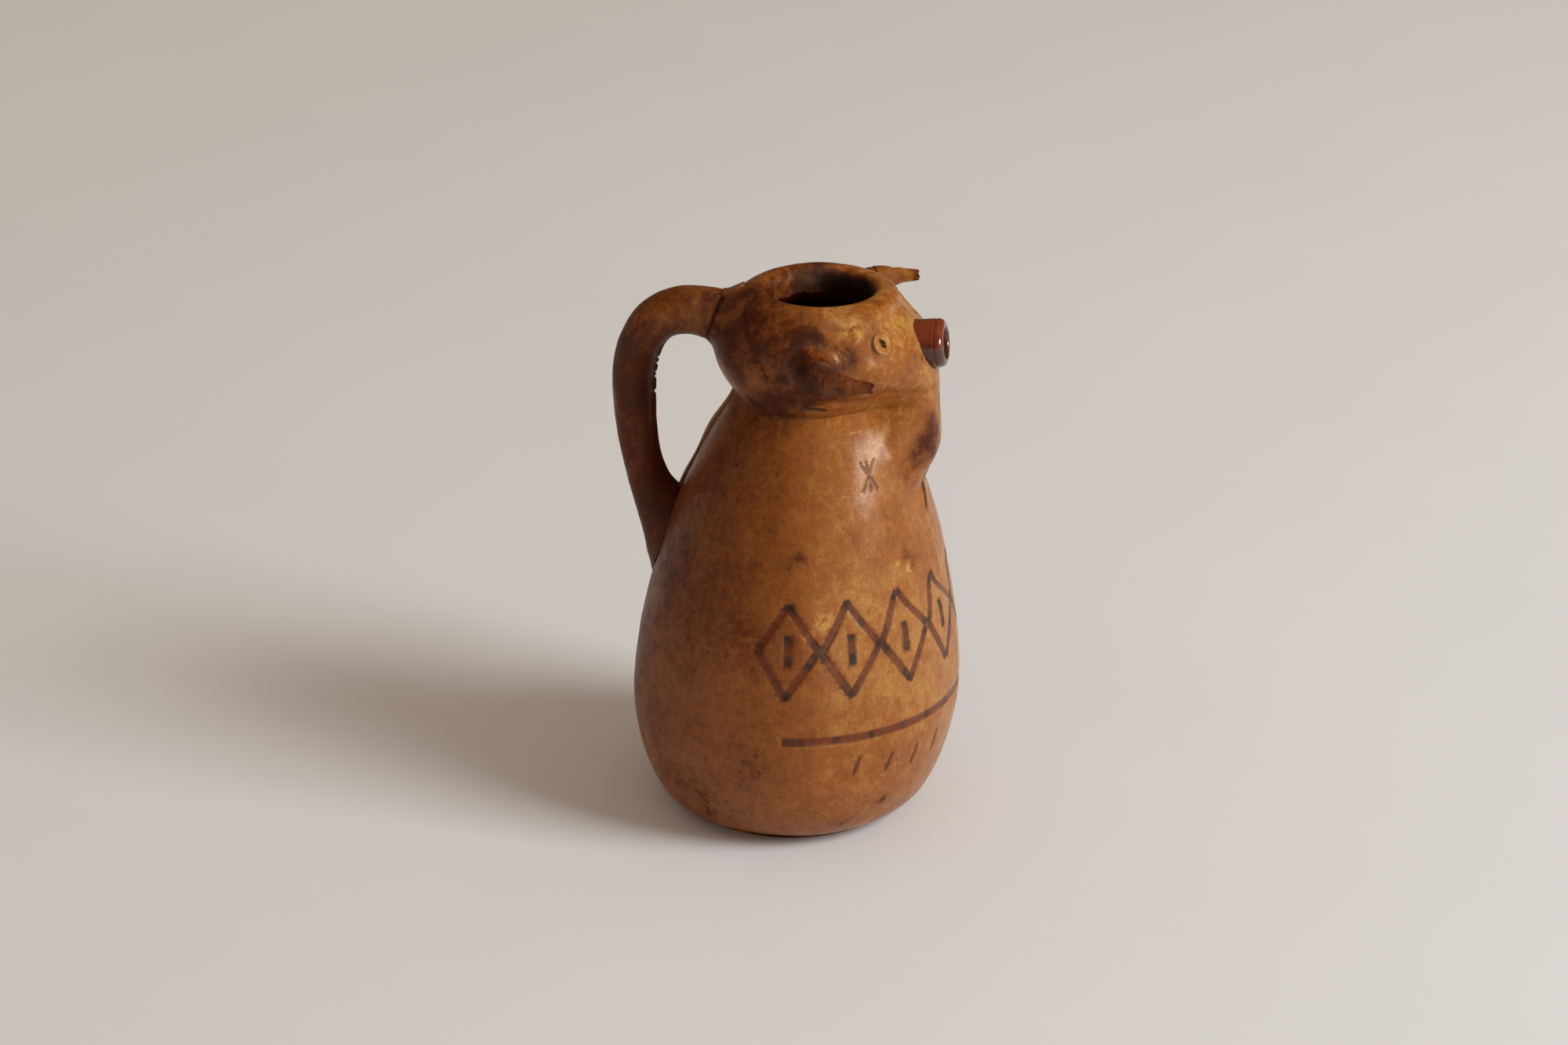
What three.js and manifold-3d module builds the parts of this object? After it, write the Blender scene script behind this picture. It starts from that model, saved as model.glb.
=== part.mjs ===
// A glazed earthenware jug dressed in wet-moulded leather, in the shape of a bull.
//
// Millimetres, +Z up. The origin is the centre of the base on the floor, +X points to the spout (the
// bull's snout), -X to the handle, +Y to the bull's left. The jug leans forward as it rises, so every
// level of the body is a ring about a centre that moves along +X.
//
// The earthenware is a liner with a pouring spout and a handle luted on. The hide is two moulded halves
// that meet in the plane y = 0, turned in at the mouth and turned under at the base.
import * as THREE from "three";
import { mergeVertices } from "three/addons/utils/BufferGeometryUtils.js";
import Module from "manifold-3d";

const wasm = await Module();
wasm.setup();

// Thicknesses and clearances
const HIDE = 2.6; // hide of the two body halves
const WALL = 5; // earthenware wall and floor
const SLEEVE = 2; // hide round the handle
const SOLE = 2.6; // disc under the base
const HORN_WRAP = 1.7; // thin hide rolled into the tip of a horn
const TAB = 1.6; // tab at the top of the handle
const GLUE = 0.3; // glue line between pieces that touch
const SEAM = 0.4; // gap where two edges of hide butt

// Body and head: radii of the outer face of the hide, and the rises between them
const FOOT_R = 50.8; // where the hide turns under the base
const FLANGE = 9; // width of the hide turned under
const BELLY_R = 75.7;
const BELLY_Z = 57; // floor to the widest part of the belly
const SHOULDER_RISE = 147; // belly to the crease of the neck
const NECK_R = 31.3;
const JAW_RISE = 23; // crease of the neck to the widest part of the head
const HEAD_R = 45.5;
const CROWN_RISE = 27; // widest part of the head to the crest of the mouth
const LIP_R = 28; // crest of the rolled mouth
const MOUTH_R = 22.5; // clear radius inside the turned-in hide
const LIP_DROP = 8; // depth of the lip's rounding
const TURN_IN = 12; // depth of hide turned into the mouth
const LEAN = 9.7; // how far the mouth would stand forward if the jug leaned evenly
const NOD = 3.5; // how much further the head tips forward

// Pulls of the outline's curves: how far a curve runs on before it turns
const FOOT_PULL = 20;
const BELLY_PULL_DOWN = 6;
const BELLY_PULL_UP = 34;
const SHOULDER_PULL_OUT = 30.6;
const SHOULDER_PULL_DOWN = 44.8;
const JAW_PULL_OUT = 6;
const JAW_PULL_UP = 2.5;
const CHEEK_PULL_DOWN = 9;
const CHEEK_PULL_UP = 14;
const CROWN_PULL = 8;

// Dewlap and snout: the front of the hide drawn forward below and around the spout
const DEWLAP_OUT = 27.3; // how far the dewlap stands in front of the neck
const DEWLAP_DROP = 9; // its fullest level, below the crease of the neck
const CREASE_DROP = 41; // its lower crease, below the crease of the neck
const BROW_RISE = 18; // where the snout meets the forehead, above the widest part of the head
const DEWLAP_HALF_ANGLE = 20; // degrees from the front to the side of the dewlap
const SNOUT_HALF_ANGLE = 36; // degrees from the front to the side of the snout
const SNOUT_EASE = 3.2; // how late the snout falls back to the forehead
const SIDE_EASE = 4; // how square the dewlap is across
const GAPE = 3; // the front seam's opening under the dewlap
const GAPE_LENGTH = 15;

// Spout
const SPOUT_R = 11;
const SPOUT_BORE_R = 6.3;
const SPOUT_LIFT = 3; // its axis at the hide, above the widest part of the head
const SPOUT_TILT = 6; // degrees upwards
const SPOUT_SHOW = 7.7; // how far it stands out of the hide
const SPOUT_LIP = 1.8; // rounding of its lip

// Handle
const HANDLE_R = 10; // outside of the hide, at the grip
const HANDLE_LOW_R = 8.9; // outside of the hide, where it is thinnest, below the grip
const HANDLE_ROOT_R = 12.8; // outside of the hide, at the head
const HANDLE_FOOT_R = 13; // outside of the hide, at the belly
const HANDLE_REACH = 73.2; // grip's centre behind the base's centre
const HANDLE_LIFT = 9; // its upper root, above the widest part of the head
const HANDLE_GRIP_DROP = 4; // its straightest level, below the crease of the neck
const HANDLE_FOOT_DROP = 80; // its lower root, below the crease of the neck
const HANDLE_ARCH_BACK = 33; // pulls of its centre line
const HANDLE_ARCH_UP = 13;
const HANDLE_GRIP_PULL = 25;
const HANDLE_DROP_PULL = 38;
const HANDLE_FOOT_BACK = 11;
const HANDLE_FOOT_UP = 32;
const HANDLE_TAPER = 0.35; // share of its length over which each root thins
const HANDLE_THIN_FROM = 0.45; // shares of its length between which the grip thins
const HANDLE_THIN_TO = 0.7;
const HANDLE_BURIED = 0.1; // share of its length that its ends would run on inside the walls

// Tab on the crown, at the handle's upper root
const TAB_LENGTH = 13;
const TAB_WIDTH = 9;

// Horns
const HORN_ANGLE = 80; // degrees round from the front
const HORN_LIFT = 2; // root's centre, above the widest part of the head
const HORN_ROOT_R = 14;
const HORN_TIP_R = 2.5;
const HORN_SPREAD = 15.5; // how far it stands out to the side
const HORN_REACH = 28.6; // how far its tip runs forward of its root
const LEFT_HORN_RISE = 10; // the hand-shaped horns don't quite match: the right one droops
const RIGHT_HORN_RISE = 2;
const HORN_JOINT = 0.62; // share of the length where the rolled tip begins
const HORN_NOSE = 0.12; // share of the length that the root runs on inside the tip
const HORN_EASE = 1.2; // how the radius falls from root to tip

// Eyes
const EYE_ANGLE = 38.7; // degrees round from the front
const EYE_LIFT = 12; // above the widest part of the head
const EYE_R = 5;
const EYE_PROUD = 2.4;
const EYE_HOLE_R = 1.3;
const EYE_HOLE_DEPTH = 3.5;

// Faces round a full turn, and along the curves
const RING = 38;
const FRONT_CROWD = 0.42; // how much closer the faces of a ring lie at the front
const TUBE_SIDES = 12;
const HORN_SIDES = 12;
const SMALL_SIDES = 18;
const SPOUT_SIDES = 26;
const HANDLE_STEPS = 18;
const HORN_STEPS = 7;
const CEILING_STEPS = 3;
const LIP_STEPS = 2;

// Levels that follow from the rises
const UNDERSIDE_Z = SOLE + GLUE;
const NECK_Z = BELLY_Z + SHOULDER_RISE;
const HEAD_Z = NECK_Z + JAW_RISE;
const CREST_Z = HEAD_Z + CROWN_RISE;
const CREASE_Z = NECK_Z - CREASE_DROP;
const DEWLAP_Z = NECK_Z - DEWLAP_DROP;
const BROW_Z = HEAD_Z + BROW_RISE;
const BED = HIDE + GLUE; // from the outer face of the hide to the earthenware
const FAR = 4 * (BELLY_R + HANDLE_REACH); // longer than the object in any direction

const BACK = Math.PI;
const UP = new THREE.Vector3(0, 0, 1);
const LEFTWARDS = new THREE.Vector3(0, 1, 0);
const radians = THREE.MathUtils.degToRad;
const at = (radius, height) => new THREE.Vector2(radius, height);

// Solids

function solid(geometry) {
  const bare = geometry.clone();
  bare.deleteAttribute("normal");
  bare.deleteAttribute("uv");
  const merged = mergeVertices(bare, 1e-4);
  const corners = merged.index.array;
  const triVerts = [];
  for (let i = 0; i < corners.length; i += 3) {
    const [a, b, c] = [corners[i], corners[i + 1], corners[i + 2]];
    if (a !== b && b !== c && c !== a) {
      triVerts.push(a, b, c);
    }
  }
  const vertProperties = Float32Array.from(merged.attributes.position.array);
  return new wasm.Manifold(
    new wasm.Mesh({ numProp: 3, vertProperties, triVerts: Uint32Array.from(triVerts) }),
  );
}

function surface(body) {
  const { vertProperties, triVerts } = body.getMesh();
  const geometry = new THREE.BufferGeometry();
  geometry.setAttribute("position", new THREE.BufferAttribute(vertProperties, 3));
  geometry.setIndex(new THREE.BufferAttribute(triVerts, 1));
  geometry.computeVertexNormals();
  return geometry;
}

// A closed tube of changing radius along a curve, from share a to share b of its length. Shares outside
// 0 to 1 run straight on past the curve's ends.
function pointAlong(curve, share) {
  const inside = THREE.MathUtils.clamp(share, 0, 1);
  const beyond = (share - inside) * curve.getLength();
  return curve.getPointAt(inside).addScaledVector(curve.getTangentAt(inside), beyond);
}

function tube(curve, radiusAt, a, b, steps, sides, across) {
  const positions = [];
  const index = [];
  for (let step = 0; step <= steps; step += 1) {
    const share = a + ((b - a) * step) / steps;
    const centre = pointAlong(curve, share);
    const along = curve.getTangentAt(THREE.MathUtils.clamp(share, 0, 1));
    const first = new THREE.Vector3().crossVectors(across, along).normalize();
    const second = new THREE.Vector3().crossVectors(along, first);
    for (let side = 0; side < sides; side += 1) {
      const turn = (2 * Math.PI * side) / sides;
      const point = centre.clone();
      point.addScaledVector(first, radiusAt(share) * Math.cos(turn));
      point.addScaledVector(second, radiusAt(share) * Math.sin(turn));
      positions.push(point.x, point.y, point.z);
      const next = (side + 1) % sides;
      if (step > 0) {
        const here = step * sides;
        const before = here - sides;
        index.push(before + side, before + next, here + next);
        index.push(before + side, here + next, here + side);
      }
    }
  }
  for (let side = 1; side < sides - 1; side += 1) {
    const last = steps * sides;
    index.push(0, side + 1, side);
    index.push(last, last + side, last + side + 1);
  }
  const geometry = new THREE.BufferGeometry();
  geometry.setAttribute("position", new THREE.Float32BufferAttribute(positions, 3));
  geometry.setIndex(index);
  return solid(geometry);
}

// Turns a shape made about the Z axis so that it stands on a point and points along a direction.
function standing(geometry, foot, direction) {
  const turn = new THREE.Quaternion().setFromUnitVectors(UP, direction);
  return solid(geometry.applyQuaternion(turn).translate(foot.x, foot.y, foot.z));
}

function rod(radius, from, to) {
  const along = to.clone().sub(from);
  const length = along.length();
  const geometry = new THREE.CylinderGeometry(radius, radius, length, SMALL_SIDES);
  geometry.rotateX(Math.PI / 2).translate(0, 0, length / 2);
  return standing(geometry, from, along.normalize());
}

// The outline of the hide

const centreX = (z) => LEAN * (z / CREST_Z) + NOD * (z / CREST_Z) ** 6;

// Stretches of the outline from the edge turned under the base to the edge turned into the mouth, each
// with its number of steps and, where they close up towards its upper end, how much.
const lipRound = 0.5523; // pull of a quarter round
const stretches = {
  flange: [new THREE.LineCurve(at(FOOT_R - FLANGE, UNDERSIDE_Z), at(FOOT_R, UNDERSIDE_Z)), 1],
  foot: [
    new THREE.CubicBezierCurve(
      at(FOOT_R, UNDERSIDE_Z),
      at(FOOT_R + FOOT_PULL, UNDERSIDE_Z),
      at(BELLY_R, BELLY_Z - BELLY_PULL_DOWN),
      at(BELLY_R, BELLY_Z),
    ),
    5,
  ],
  shoulder: [
    new THREE.CubicBezierCurve(
      at(BELLY_R, BELLY_Z),
      at(BELLY_R, BELLY_Z + BELLY_PULL_UP),
      at(NECK_R + SHOULDER_PULL_OUT, NECK_Z - SHOULDER_PULL_DOWN),
      at(NECK_R, NECK_Z),
    ),
    9,
    1.5,
  ],
  jaw: [
    new THREE.CubicBezierCurve(
      at(NECK_R, NECK_Z),
      at(NECK_R + JAW_PULL_OUT, NECK_Z + JAW_PULL_UP),
      at(HEAD_R, HEAD_Z - CHEEK_PULL_DOWN),
      at(HEAD_R, HEAD_Z),
    ),
    4,
  ],
  crown: [
    new THREE.CubicBezierCurve(
      at(HEAD_R, HEAD_Z),
      at(HEAD_R, HEAD_Z + CHEEK_PULL_UP),
      at(LIP_R + CROWN_PULL, CREST_Z),
      at(LIP_R, CREST_Z),
    ),
    4,
  ],
  lip: [
    new THREE.CubicBezierCurve(
      at(LIP_R, CREST_Z),
      at(LIP_R - lipRound * (LIP_R - MOUTH_R), CREST_Z),
      at(MOUTH_R, CREST_Z - (1 - lipRound) * LIP_DROP),
      at(MOUTH_R, CREST_Z - LIP_DROP),
    ),
    3,
  ],
  turnIn: [new THREE.LineCurve(at(MOUTH_R, CREST_Z - LIP_DROP), at(MOUTH_R, CREST_Z - TURN_IN)), 1],
};
const potStretches = ["foot", "shoulder", "jaw", "crown"];
const mouthStretches = ["lip", "turnIn"];

// Points of the named stretches, a depth inside the outer face of the hide. Each keeps the level at which
// the dewlap's swell is taken, which is the same through the hide's thickness.
function outline(names, depth) {
  const points = [];
  for (const name of names) {
    const [curve, steps, crowd = 1] = stretches[name];
    const swells = name !== "lip" && name !== "turnIn";
    for (let step = 0; step <= steps; step += 1) {
      const share = 1 - (1 - step / steps) ** crowd;
      const point = curve.getPoint(share);
      const along = curve.getTangent(share);
      const outward = at(along.y, -along.x);
      const last = points.at(-1);
      if (last && last.at.distanceTo(point) < 1e-6) {
        last.outward.add(outward).normalize();
        last.swells = swells;
      } else {
        points.push({ at: point, outward, swells });
      }
    }
  }
  return points.map(({ at: point, outward, swells }) => ({
    radius: point.x - depth * outward.x,
    height: point.y - depth * outward.y,
    swellAt: swells ? point.y : 0,
  }));
}

// Radius of the hide's outer face at a level of the body or head.
const fineLevels = potStretches.flatMap((name) => stretches[name][0].getPoints(60));
function hideRadius(z) {
  const above = Math.max(1, fineLevels.findIndex((point) => point.y > z));
  const [low, high] = [fineLevels[above - 1], fineLevels[above]];
  return low.x + ((high.x - low.x) * (z - low.y)) / (high.y - low.y);
}

// How far the dewlap and the snout stand out of the round body, at an angle from the front and a level.
const roundFront = (z) => centreX(z) + hideRadius(z);
const dewlapX = roundFront(NECK_Z) + DEWLAP_OUT;
function swell(angle, z) {
  if (z <= CREASE_Z || z >= BROW_Z) {
    return 0;
  }
  let frontX;
  if (z < DEWLAP_Z) {
    const low = roundFront(CREASE_Z);
    frontX = low + (dewlapX - low) * Math.sin((Math.PI / 2) * ((z - CREASE_Z) / (DEWLAP_Z - CREASE_Z)));
  } else {
    const fall = (dewlapX - roundFront(BROW_Z)) * ((z - DEWLAP_Z) / (BROW_Z - DEWLAP_Z)) ** SNOUT_EASE;
    frontX = dewlapX - fall;
  }
  const widen = THREE.MathUtils.smoothstep(z, NECK_Z, BROW_Z);
  const half = radians(THREE.MathUtils.lerp(DEWLAP_HALF_ANGLE, SNOUT_HALF_ANGLE, widen));
  const fromFront = Math.abs(Math.atan2(Math.sin(angle), Math.cos(angle)));
  return Math.max(0, frontX - roundFront(z)) / (1 + (fromFront / half) ** SIDE_EASE);
}

function hidePoint(angle, z) {
  const radius = hideRadius(z) + swell(angle, z);
  return new THREE.Vector3(centreX(z) + radius * Math.cos(angle), radius * Math.sin(angle), z);
}

function hideOutward(angle, z) {
  const reach = 0.5;
  const round = hidePoint(angle + reach / HEAD_R, z).sub(hidePoint(angle - reach / HEAD_R, z));
  const upwards = hidePoint(angle, z + reach).sub(hidePoint(angle, z - reach));
  return round.cross(upwards).normalize();
}

// A ring-shaped or solid body turned from an outline, leaning forward and swelling at the front.
function turned(points) {
  const profile = points.map(({ radius, height }) => at(radius, height));
  const geometry = new THREE.LatheGeometry(profile, RING);
  const position = geometry.attributes.position;
  for (let i = 0; i < position.count; i += 1) {
    const { radius, height, swellAt } = points[i % points.length];
    const turn = (2 * Math.PI * (Math.floor(i / points.length) % RING)) / RING;
    const angle = turn - FRONT_CROWD * Math.sin(turn);
    const reach = radius + (swellAt ? swell(angle, swellAt) : 0);
    position.setXYZ(i, centreX(height) + reach * Math.cos(angle), reach * Math.sin(angle), height);
  }
  return solid(geometry);
}

const axisPoint = (height) => ({ radius: 0, height, swellAt: 0 });

// The whole space inside a depth of the hide, without its dewlap: what the earthenware fills.
function potSpace(depth) {
  const points = outline(potStretches, depth).map((p) => ({ ...p, swellAt: 0 }));
  return turned([axisPoint(points[0].height), ...points, axisPoint(points.at(-1).height)]);
}

const aroundPot = potSpace(HIDE); // a glue line clear of the earthenware
const aroundHide = potSpace(-GLUE); // a glue line clear of the hide, away from the dewlap

// Shared places

const spoutZ = HEAD_Z + SPOUT_LIFT;
const spoutAxis = new THREE.Vector3(Math.cos(radians(SPOUT_TILT)), 0, Math.sin(radians(SPOUT_TILT)));
const spoutEnd = hidePoint(0, spoutZ).addScaledVector(spoutAxis, SPOUT_SHOW);
const spoutLength = spoutEnd.x - centreX(HEAD_Z);
const spoutRoot = spoutEnd.clone().addScaledVector(spoutAxis, -spoutLength);

// The handle's centre line runs from the middle of the head's wall, over the grip, to the belly's wall.
function wallMiddle(z) {
  const point = hidePoint(BACK, z);
  return point.addScaledVector(hideOutward(BACK, z), -(BED + WALL / 2));
}
const handleTop = wallMiddle(HEAD_Z + HANDLE_LIFT);
const handleFoot = wallMiddle(NECK_Z - HANDLE_FOOT_DROP);
const gripZ = NECK_Z - HANDLE_GRIP_DROP;
const inPlane = (x, z) => new THREE.Vector3(x, 0, z);
const handleLine = new THREE.CurvePath();
handleLine.add(
  new THREE.CubicBezierCurve3(
    handleTop,
    inPlane(handleTop.x - HANDLE_ARCH_BACK, handleTop.z + HANDLE_ARCH_UP),
    inPlane(-HANDLE_REACH, gripZ + HANDLE_GRIP_PULL),
    inPlane(-HANDLE_REACH, gripZ),
  ),
);
handleLine.add(
  new THREE.CubicBezierCurve3(
    inPlane(-HANDLE_REACH, gripZ),
    inPlane(-HANDLE_REACH, gripZ - HANDLE_DROP_PULL),
    inPlane(handleFoot.x - HANDLE_FOOT_BACK, handleFoot.z + HANDLE_FOOT_UP),
    handleFoot,
  ),
);

function handleRadius(share) {
  const top = Math.max(0, 1 - share / HANDLE_TAPER) ** 2;
  const foot = Math.max(0, 1 - (1 - share) / HANDLE_TAPER) ** 2;
  const thinned = THREE.MathUtils.smoothstep(share, HANDLE_THIN_FROM, HANDLE_THIN_TO);
  const grip = THREE.MathUtils.lerp(HANDLE_R, HANDLE_LOW_R, thinned);
  return grip + (HANDLE_ROOT_R - HANDLE_R) * top + (HANDLE_FOOT_R - HANDLE_LOW_R) * foot;
}

function handleTube(inset) {
  const radiusAt = (share) => handleRadius(THREE.MathUtils.clamp(share, 0, 1)) - inset;
  const [a, b] = [-HANDLE_BURIED, 1 + HANDLE_BURIED];
  return tube(handleLine, radiusAt, a, b, HANDLE_STEPS, TUBE_SIDES, LEFTWARDS);
}
const handleHole = handleTube(SLEEVE); // a glue line clear of the handle's core

// Each horn sweeps out of the side of the head and forward. side is 1 on the bull's left, -1 on its right.
function hornLine(side) {
  const root = hidePoint(side * radians(HORN_ANGLE), HEAD_Z + HORN_LIFT);
  const outerY = root.y + side * HORN_SPREAD;
  const rise = side > 0 ? LEFT_HORN_RISE : RIGHT_HORN_RISE;
  return new THREE.CubicBezierCurve3(
    root.clone().setY(root.y - side * HORN_ROOT_R),
    new THREE.Vector3(root.x, outerY, root.z + rise / 2),
    new THREE.Vector3(root.x + HORN_REACH / 2, outerY, root.z + rise),
    new THREE.Vector3(root.x + HORN_REACH, outerY, root.z + rise),
  );
}

function hornRadius(share) {
  const left = Math.max(0, 1 - share) ** HORN_EASE;
  return HORN_TIP_R + (HORN_ROOT_R - HORN_TIP_R) * left;
}

function hornTube(side, inset, a, b) {
  const radiusAt = (share) => hornRadius(share) - inset;
  return tube(hornLine(side), radiusAt, a, b, HORN_STEPS, HORN_SIDES, UP);
}

function eyeSeat(side) {
  const angle = side * radians(EYE_ANGLE);
  const z = HEAD_Z + EYE_LIFT;
  return { centre: hidePoint(angle, z), outward: hideOutward(angle, z) };
}

// Sub-parts

function jugLiner() {
  const outside = outline([...potStretches, ...mouthStretches], BED);
  const throat = outside.at(-1);
  const cheek = at(HEAD_R - BED - WALL, HEAD_Z);
  const underCrown = new THREE.CubicBezierCurve(
    at(throat.radius, throat.height),
    at(throat.radius, throat.height - WALL),
    at(cheek.x, cheek.y + WALL),
    cheek,
  );
  const ceiling = underCrown.getPoints(CEILING_STEPS).slice(1, -1);
  const inside = outline(["foot", "shoulder", "jaw"], BED + WALL).reverse();
  const section = [
    axisPoint(outside[0].height),
    ...outside,
    ...ceiling.map(({ x, y }) => ({ radius: x, height: y })),
    ...inside,
    axisPoint(inside.at(-1).height),
  ];
  const body = turned(section.map((point) => ({ ...point, swellAt: 0 })));
  return body.subtract(rod(SPOUT_BORE_R, spoutRoot, spoutEnd));
}

function pouringSpout() {
  const section = new THREE.Path();
  section.moveTo(SPOUT_BORE_R, 0);
  section.lineTo(SPOUT_R, 0);
  section.absarc(SPOUT_R - SPOUT_LIP, spoutLength - SPOUT_LIP, SPOUT_LIP, 0, Math.PI / 2, false);
  section.absarc(SPOUT_BORE_R + SPOUT_LIP, spoutLength - SPOUT_LIP, SPOUT_LIP, Math.PI / 2, Math.PI, false);
  section.lineTo(SPOUT_BORE_R, 0);
  const geometry = new THREE.LatheGeometry(section.getPoints(LIP_STEPS), SPOUT_SIDES);
  geometry.rotateX(Math.PI / 2);
  return standing(geometry, spoutRoot, spoutAxis).subtract(aroundPot);
}

function handleCore() {
  return handleTube(SLEEVE + GLUE).subtract(aroundPot);
}

// One moulded half of the hide, with the root of its horn drawn out of it.
function halfSpace(side) {
  const box = new THREE.BoxGeometry(FAR, FAR, FAR);
  return solid(box.translate(0, (side * (FAR + SEAM)) / 2, 0));
}

function gapeOpening() {
  const lens = new THREE.Shape();
  lens.moveTo(0, -GAPE_LENGTH / 2);
  lens.quadraticCurveTo(GAPE, 0, 0, GAPE_LENGTH / 2);
  lens.quadraticCurveTo(-GAPE, 0, 0, -GAPE_LENGTH / 2);
  const geometry = new THREE.ExtrudeGeometry(lens, { depth: FAR, bevelEnabled: false, curveSegments: 5 });
  // The lens stands upright across the seam and runs forward from inside the wall.
  geometry.rotateX(Math.PI / 2).rotateZ(Math.PI / 2);
  return solid(geometry.translate(centreX(CREASE_Z), 0, CREASE_Z));
}

function hideHalves() {
  const names = ["flange", ...potStretches];
  const outside = outline(names, 0);
  const inside = outline(names, HIDE).reverse();
  const spoutHole = rod(SPOUT_R + GLUE, spoutRoot, spoutEnd);
  const whole = turned([...outside, ...inside, outside[0]])
    .subtract(spoutHole)
    .subtract(handleHole)
    .subtract(gapeOpening());
  return (side) => {
    const { centre, outward } = eyeSeat(side);
    const eyeFrom = centre.clone().addScaledVector(outward, -BED);
    const eyeTo = centre.clone().addScaledVector(outward, BED);
    const nose = hornTube(side, HORN_WRAP + GLUE, HORN_JOINT / 2, HORN_JOINT + HORN_NOSE);
    const root = hornTube(side, 0, 0, HORN_JOINT).subtract(aroundPot);
    const hollow = hornTube(side, HIDE, 0, HORN_JOINT - HORN_NOSE);
    return whole
      .intersect(halfSpace(side))
      .subtract(rod(EYE_R + GLUE, eyeFrom, eyeTo))
      .add(root)
      .subtract(hollow)
      .add(nose.subtract(hollow).subtract(aroundHide));
  };
}

// The edge of a half that is turned into the mouth. It is cut from the half at the crest, so that its
// collision follows the round of the mouth.
function mouthEdge(side) {
  const outside = outline(mouthStretches, 0);
  const inside = outline(mouthStretches, HIDE).reverse();
  outside[0].radius -= SEAM;
  inside.at(-1).radius -= SEAM;
  return turned([...outside, ...inside, outside[0]]).intersect(halfSpace(side));
}

// The hide round the handle, with its seam on the inner side of the grip.
function handleSleeve() {
  const line = handleLine.getSpacedPoints(HANDLE_STEPS).map(({ x, z }) => at(x, z));
  const insideBend = new THREE.ExtrudeGeometry(new THREE.Shape(line), { depth: SEAM, bevelEnabled: false });
  const seamCut = solid(insideBend.rotateX(Math.PI / 2).translate(0, SEAM / 2, 0));
  return handleTube(0).subtract(handleHole).subtract(aroundHide).subtract(seamCut);
}

// A tongue of hide that lies on the crown and butts against the handle's sleeve.
function handleTab() {
  const start = hidePoint(BACK, HEAD_Z + HANDLE_LIFT).x;
  const tongue = new THREE.Shape();
  tongue.moveTo(start, -TAB_WIDTH / 2);
  tongue.lineTo(start + TAB_LENGTH - TAB_WIDTH / 2, -TAB_WIDTH / 3);
  tongue.absarc(start + TAB_LENGTH - TAB_WIDTH / 3, 0, TAB_WIDTH / 3, -Math.PI / 2, Math.PI / 2, false);
  tongue.lineTo(start, TAB_WIDTH / 2);
  const prism = new THREE.ExtrudeGeometry(tongue, {
    depth: CROWN_RISE,
    bevelEnabled: false,
    curveSegments: 6,
  });
  const upperRoot = handleTube(-GLUE);
  return potSpace(-GLUE - TAB)
    .subtract(aroundHide)
    .intersect(solid(prism.translate(0, 0, HEAD_Z + HANDLE_LIFT)))
    .subtract(upperRoot);
}

function baseDisc() {
  const chamfer = SOLE / 4;
  const profile = [
    at(0, 0),
    at(FOOT_R - chamfer, 0),
    at(FOOT_R, chamfer),
    at(FOOT_R, SOLE),
    at(0, SOLE),
  ];
  return solid(new THREE.LatheGeometry(profile, RING).rotateX(Math.PI / 2));
}

// The thin hide rolled over the root's nose, open at its tip.
function hornTip(side) {
  const gap = GLUE / hornLine(side).getLength();
  const bore = hornTube(side, HORN_WRAP, HORN_JOINT - HORN_NOSE, 1 + HORN_NOSE);
  return hornTube(side, 0, HORN_JOINT + gap, 1).subtract(bore);
}

// A plug of hide set through the half, with its pupil sunk into the outer end.
function eyePlug(side) {
  const { centre, outward } = eyeSeat(side);
  const along = (depth) => centre.clone().addScaledVector(outward, depth);
  const plug = rod(EYE_R, along(-HIDE), along(EYE_PROUD));
  const pupil = rod(EYE_HOLE_R, along(EYE_PROUD - EYE_HOLE_DEPTH), along(EYE_PROUD + HIDE));
  return plug.subtract(pupil);
}

// Finishes

const earthenware = () => new THREE.MeshStandardMaterial({ color: 0x5a2413, roughness: 0.25, metalness: 0 });
const hide = () => new THREE.MeshStandardMaterial({ color: 0xa8692c, roughness: 0.5, metalness: 0 });
const darkHide = () => new THREE.MeshStandardMaterial({ color: 0x6b3a18, roughness: 0.5, metalness: 0 });
const paleHide = () => new THREE.MeshStandardMaterial({ color: 0xc08a4a, roughness: 0.6, metalness: 0 });

// Assembly

const pitcher = new THREE.Group();
function place(name, body, material) {
  const mesh = new THREE.Mesh(surface(body), material);
  mesh.name = name;
  pitcher.add(mesh);
}

place("jug_liner", jugLiner(), earthenware());
place("pouring_spout", pouringSpout(), earthenware());
place("handle_core", handleCore(), earthenware());
const hideHalf = hideHalves();
for (const [name, side] of [["left", 1], ["right", -1]]) {
  place(`${name}_cover`, hideHalf(side), hide());
  place(`${name}_mouth_edge`, mouthEdge(side), hide());
  place(`${name}_horn_tip`, hornTip(side), darkHide());
  place(`${name}_eye`, eyePlug(side), paleHide());
}
place("handle_sleeve", handleSleeve(), darkHide());
place("handle_tab", handleTab(), darkHide());
place("base_disc", baseDisc(), darkHide());

export default pitcher;
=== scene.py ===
"""Looks of a glazed earthenware pitcher dressed in wet-moulded hide, in the shape of a bull.

Metres, +Z up. The origin is the centre of the base on the floor, +X points to the spout, -X to the handle
and +Y to the bull's left. Angles on the hide are measured from the front, levels from the floor.
"""

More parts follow.
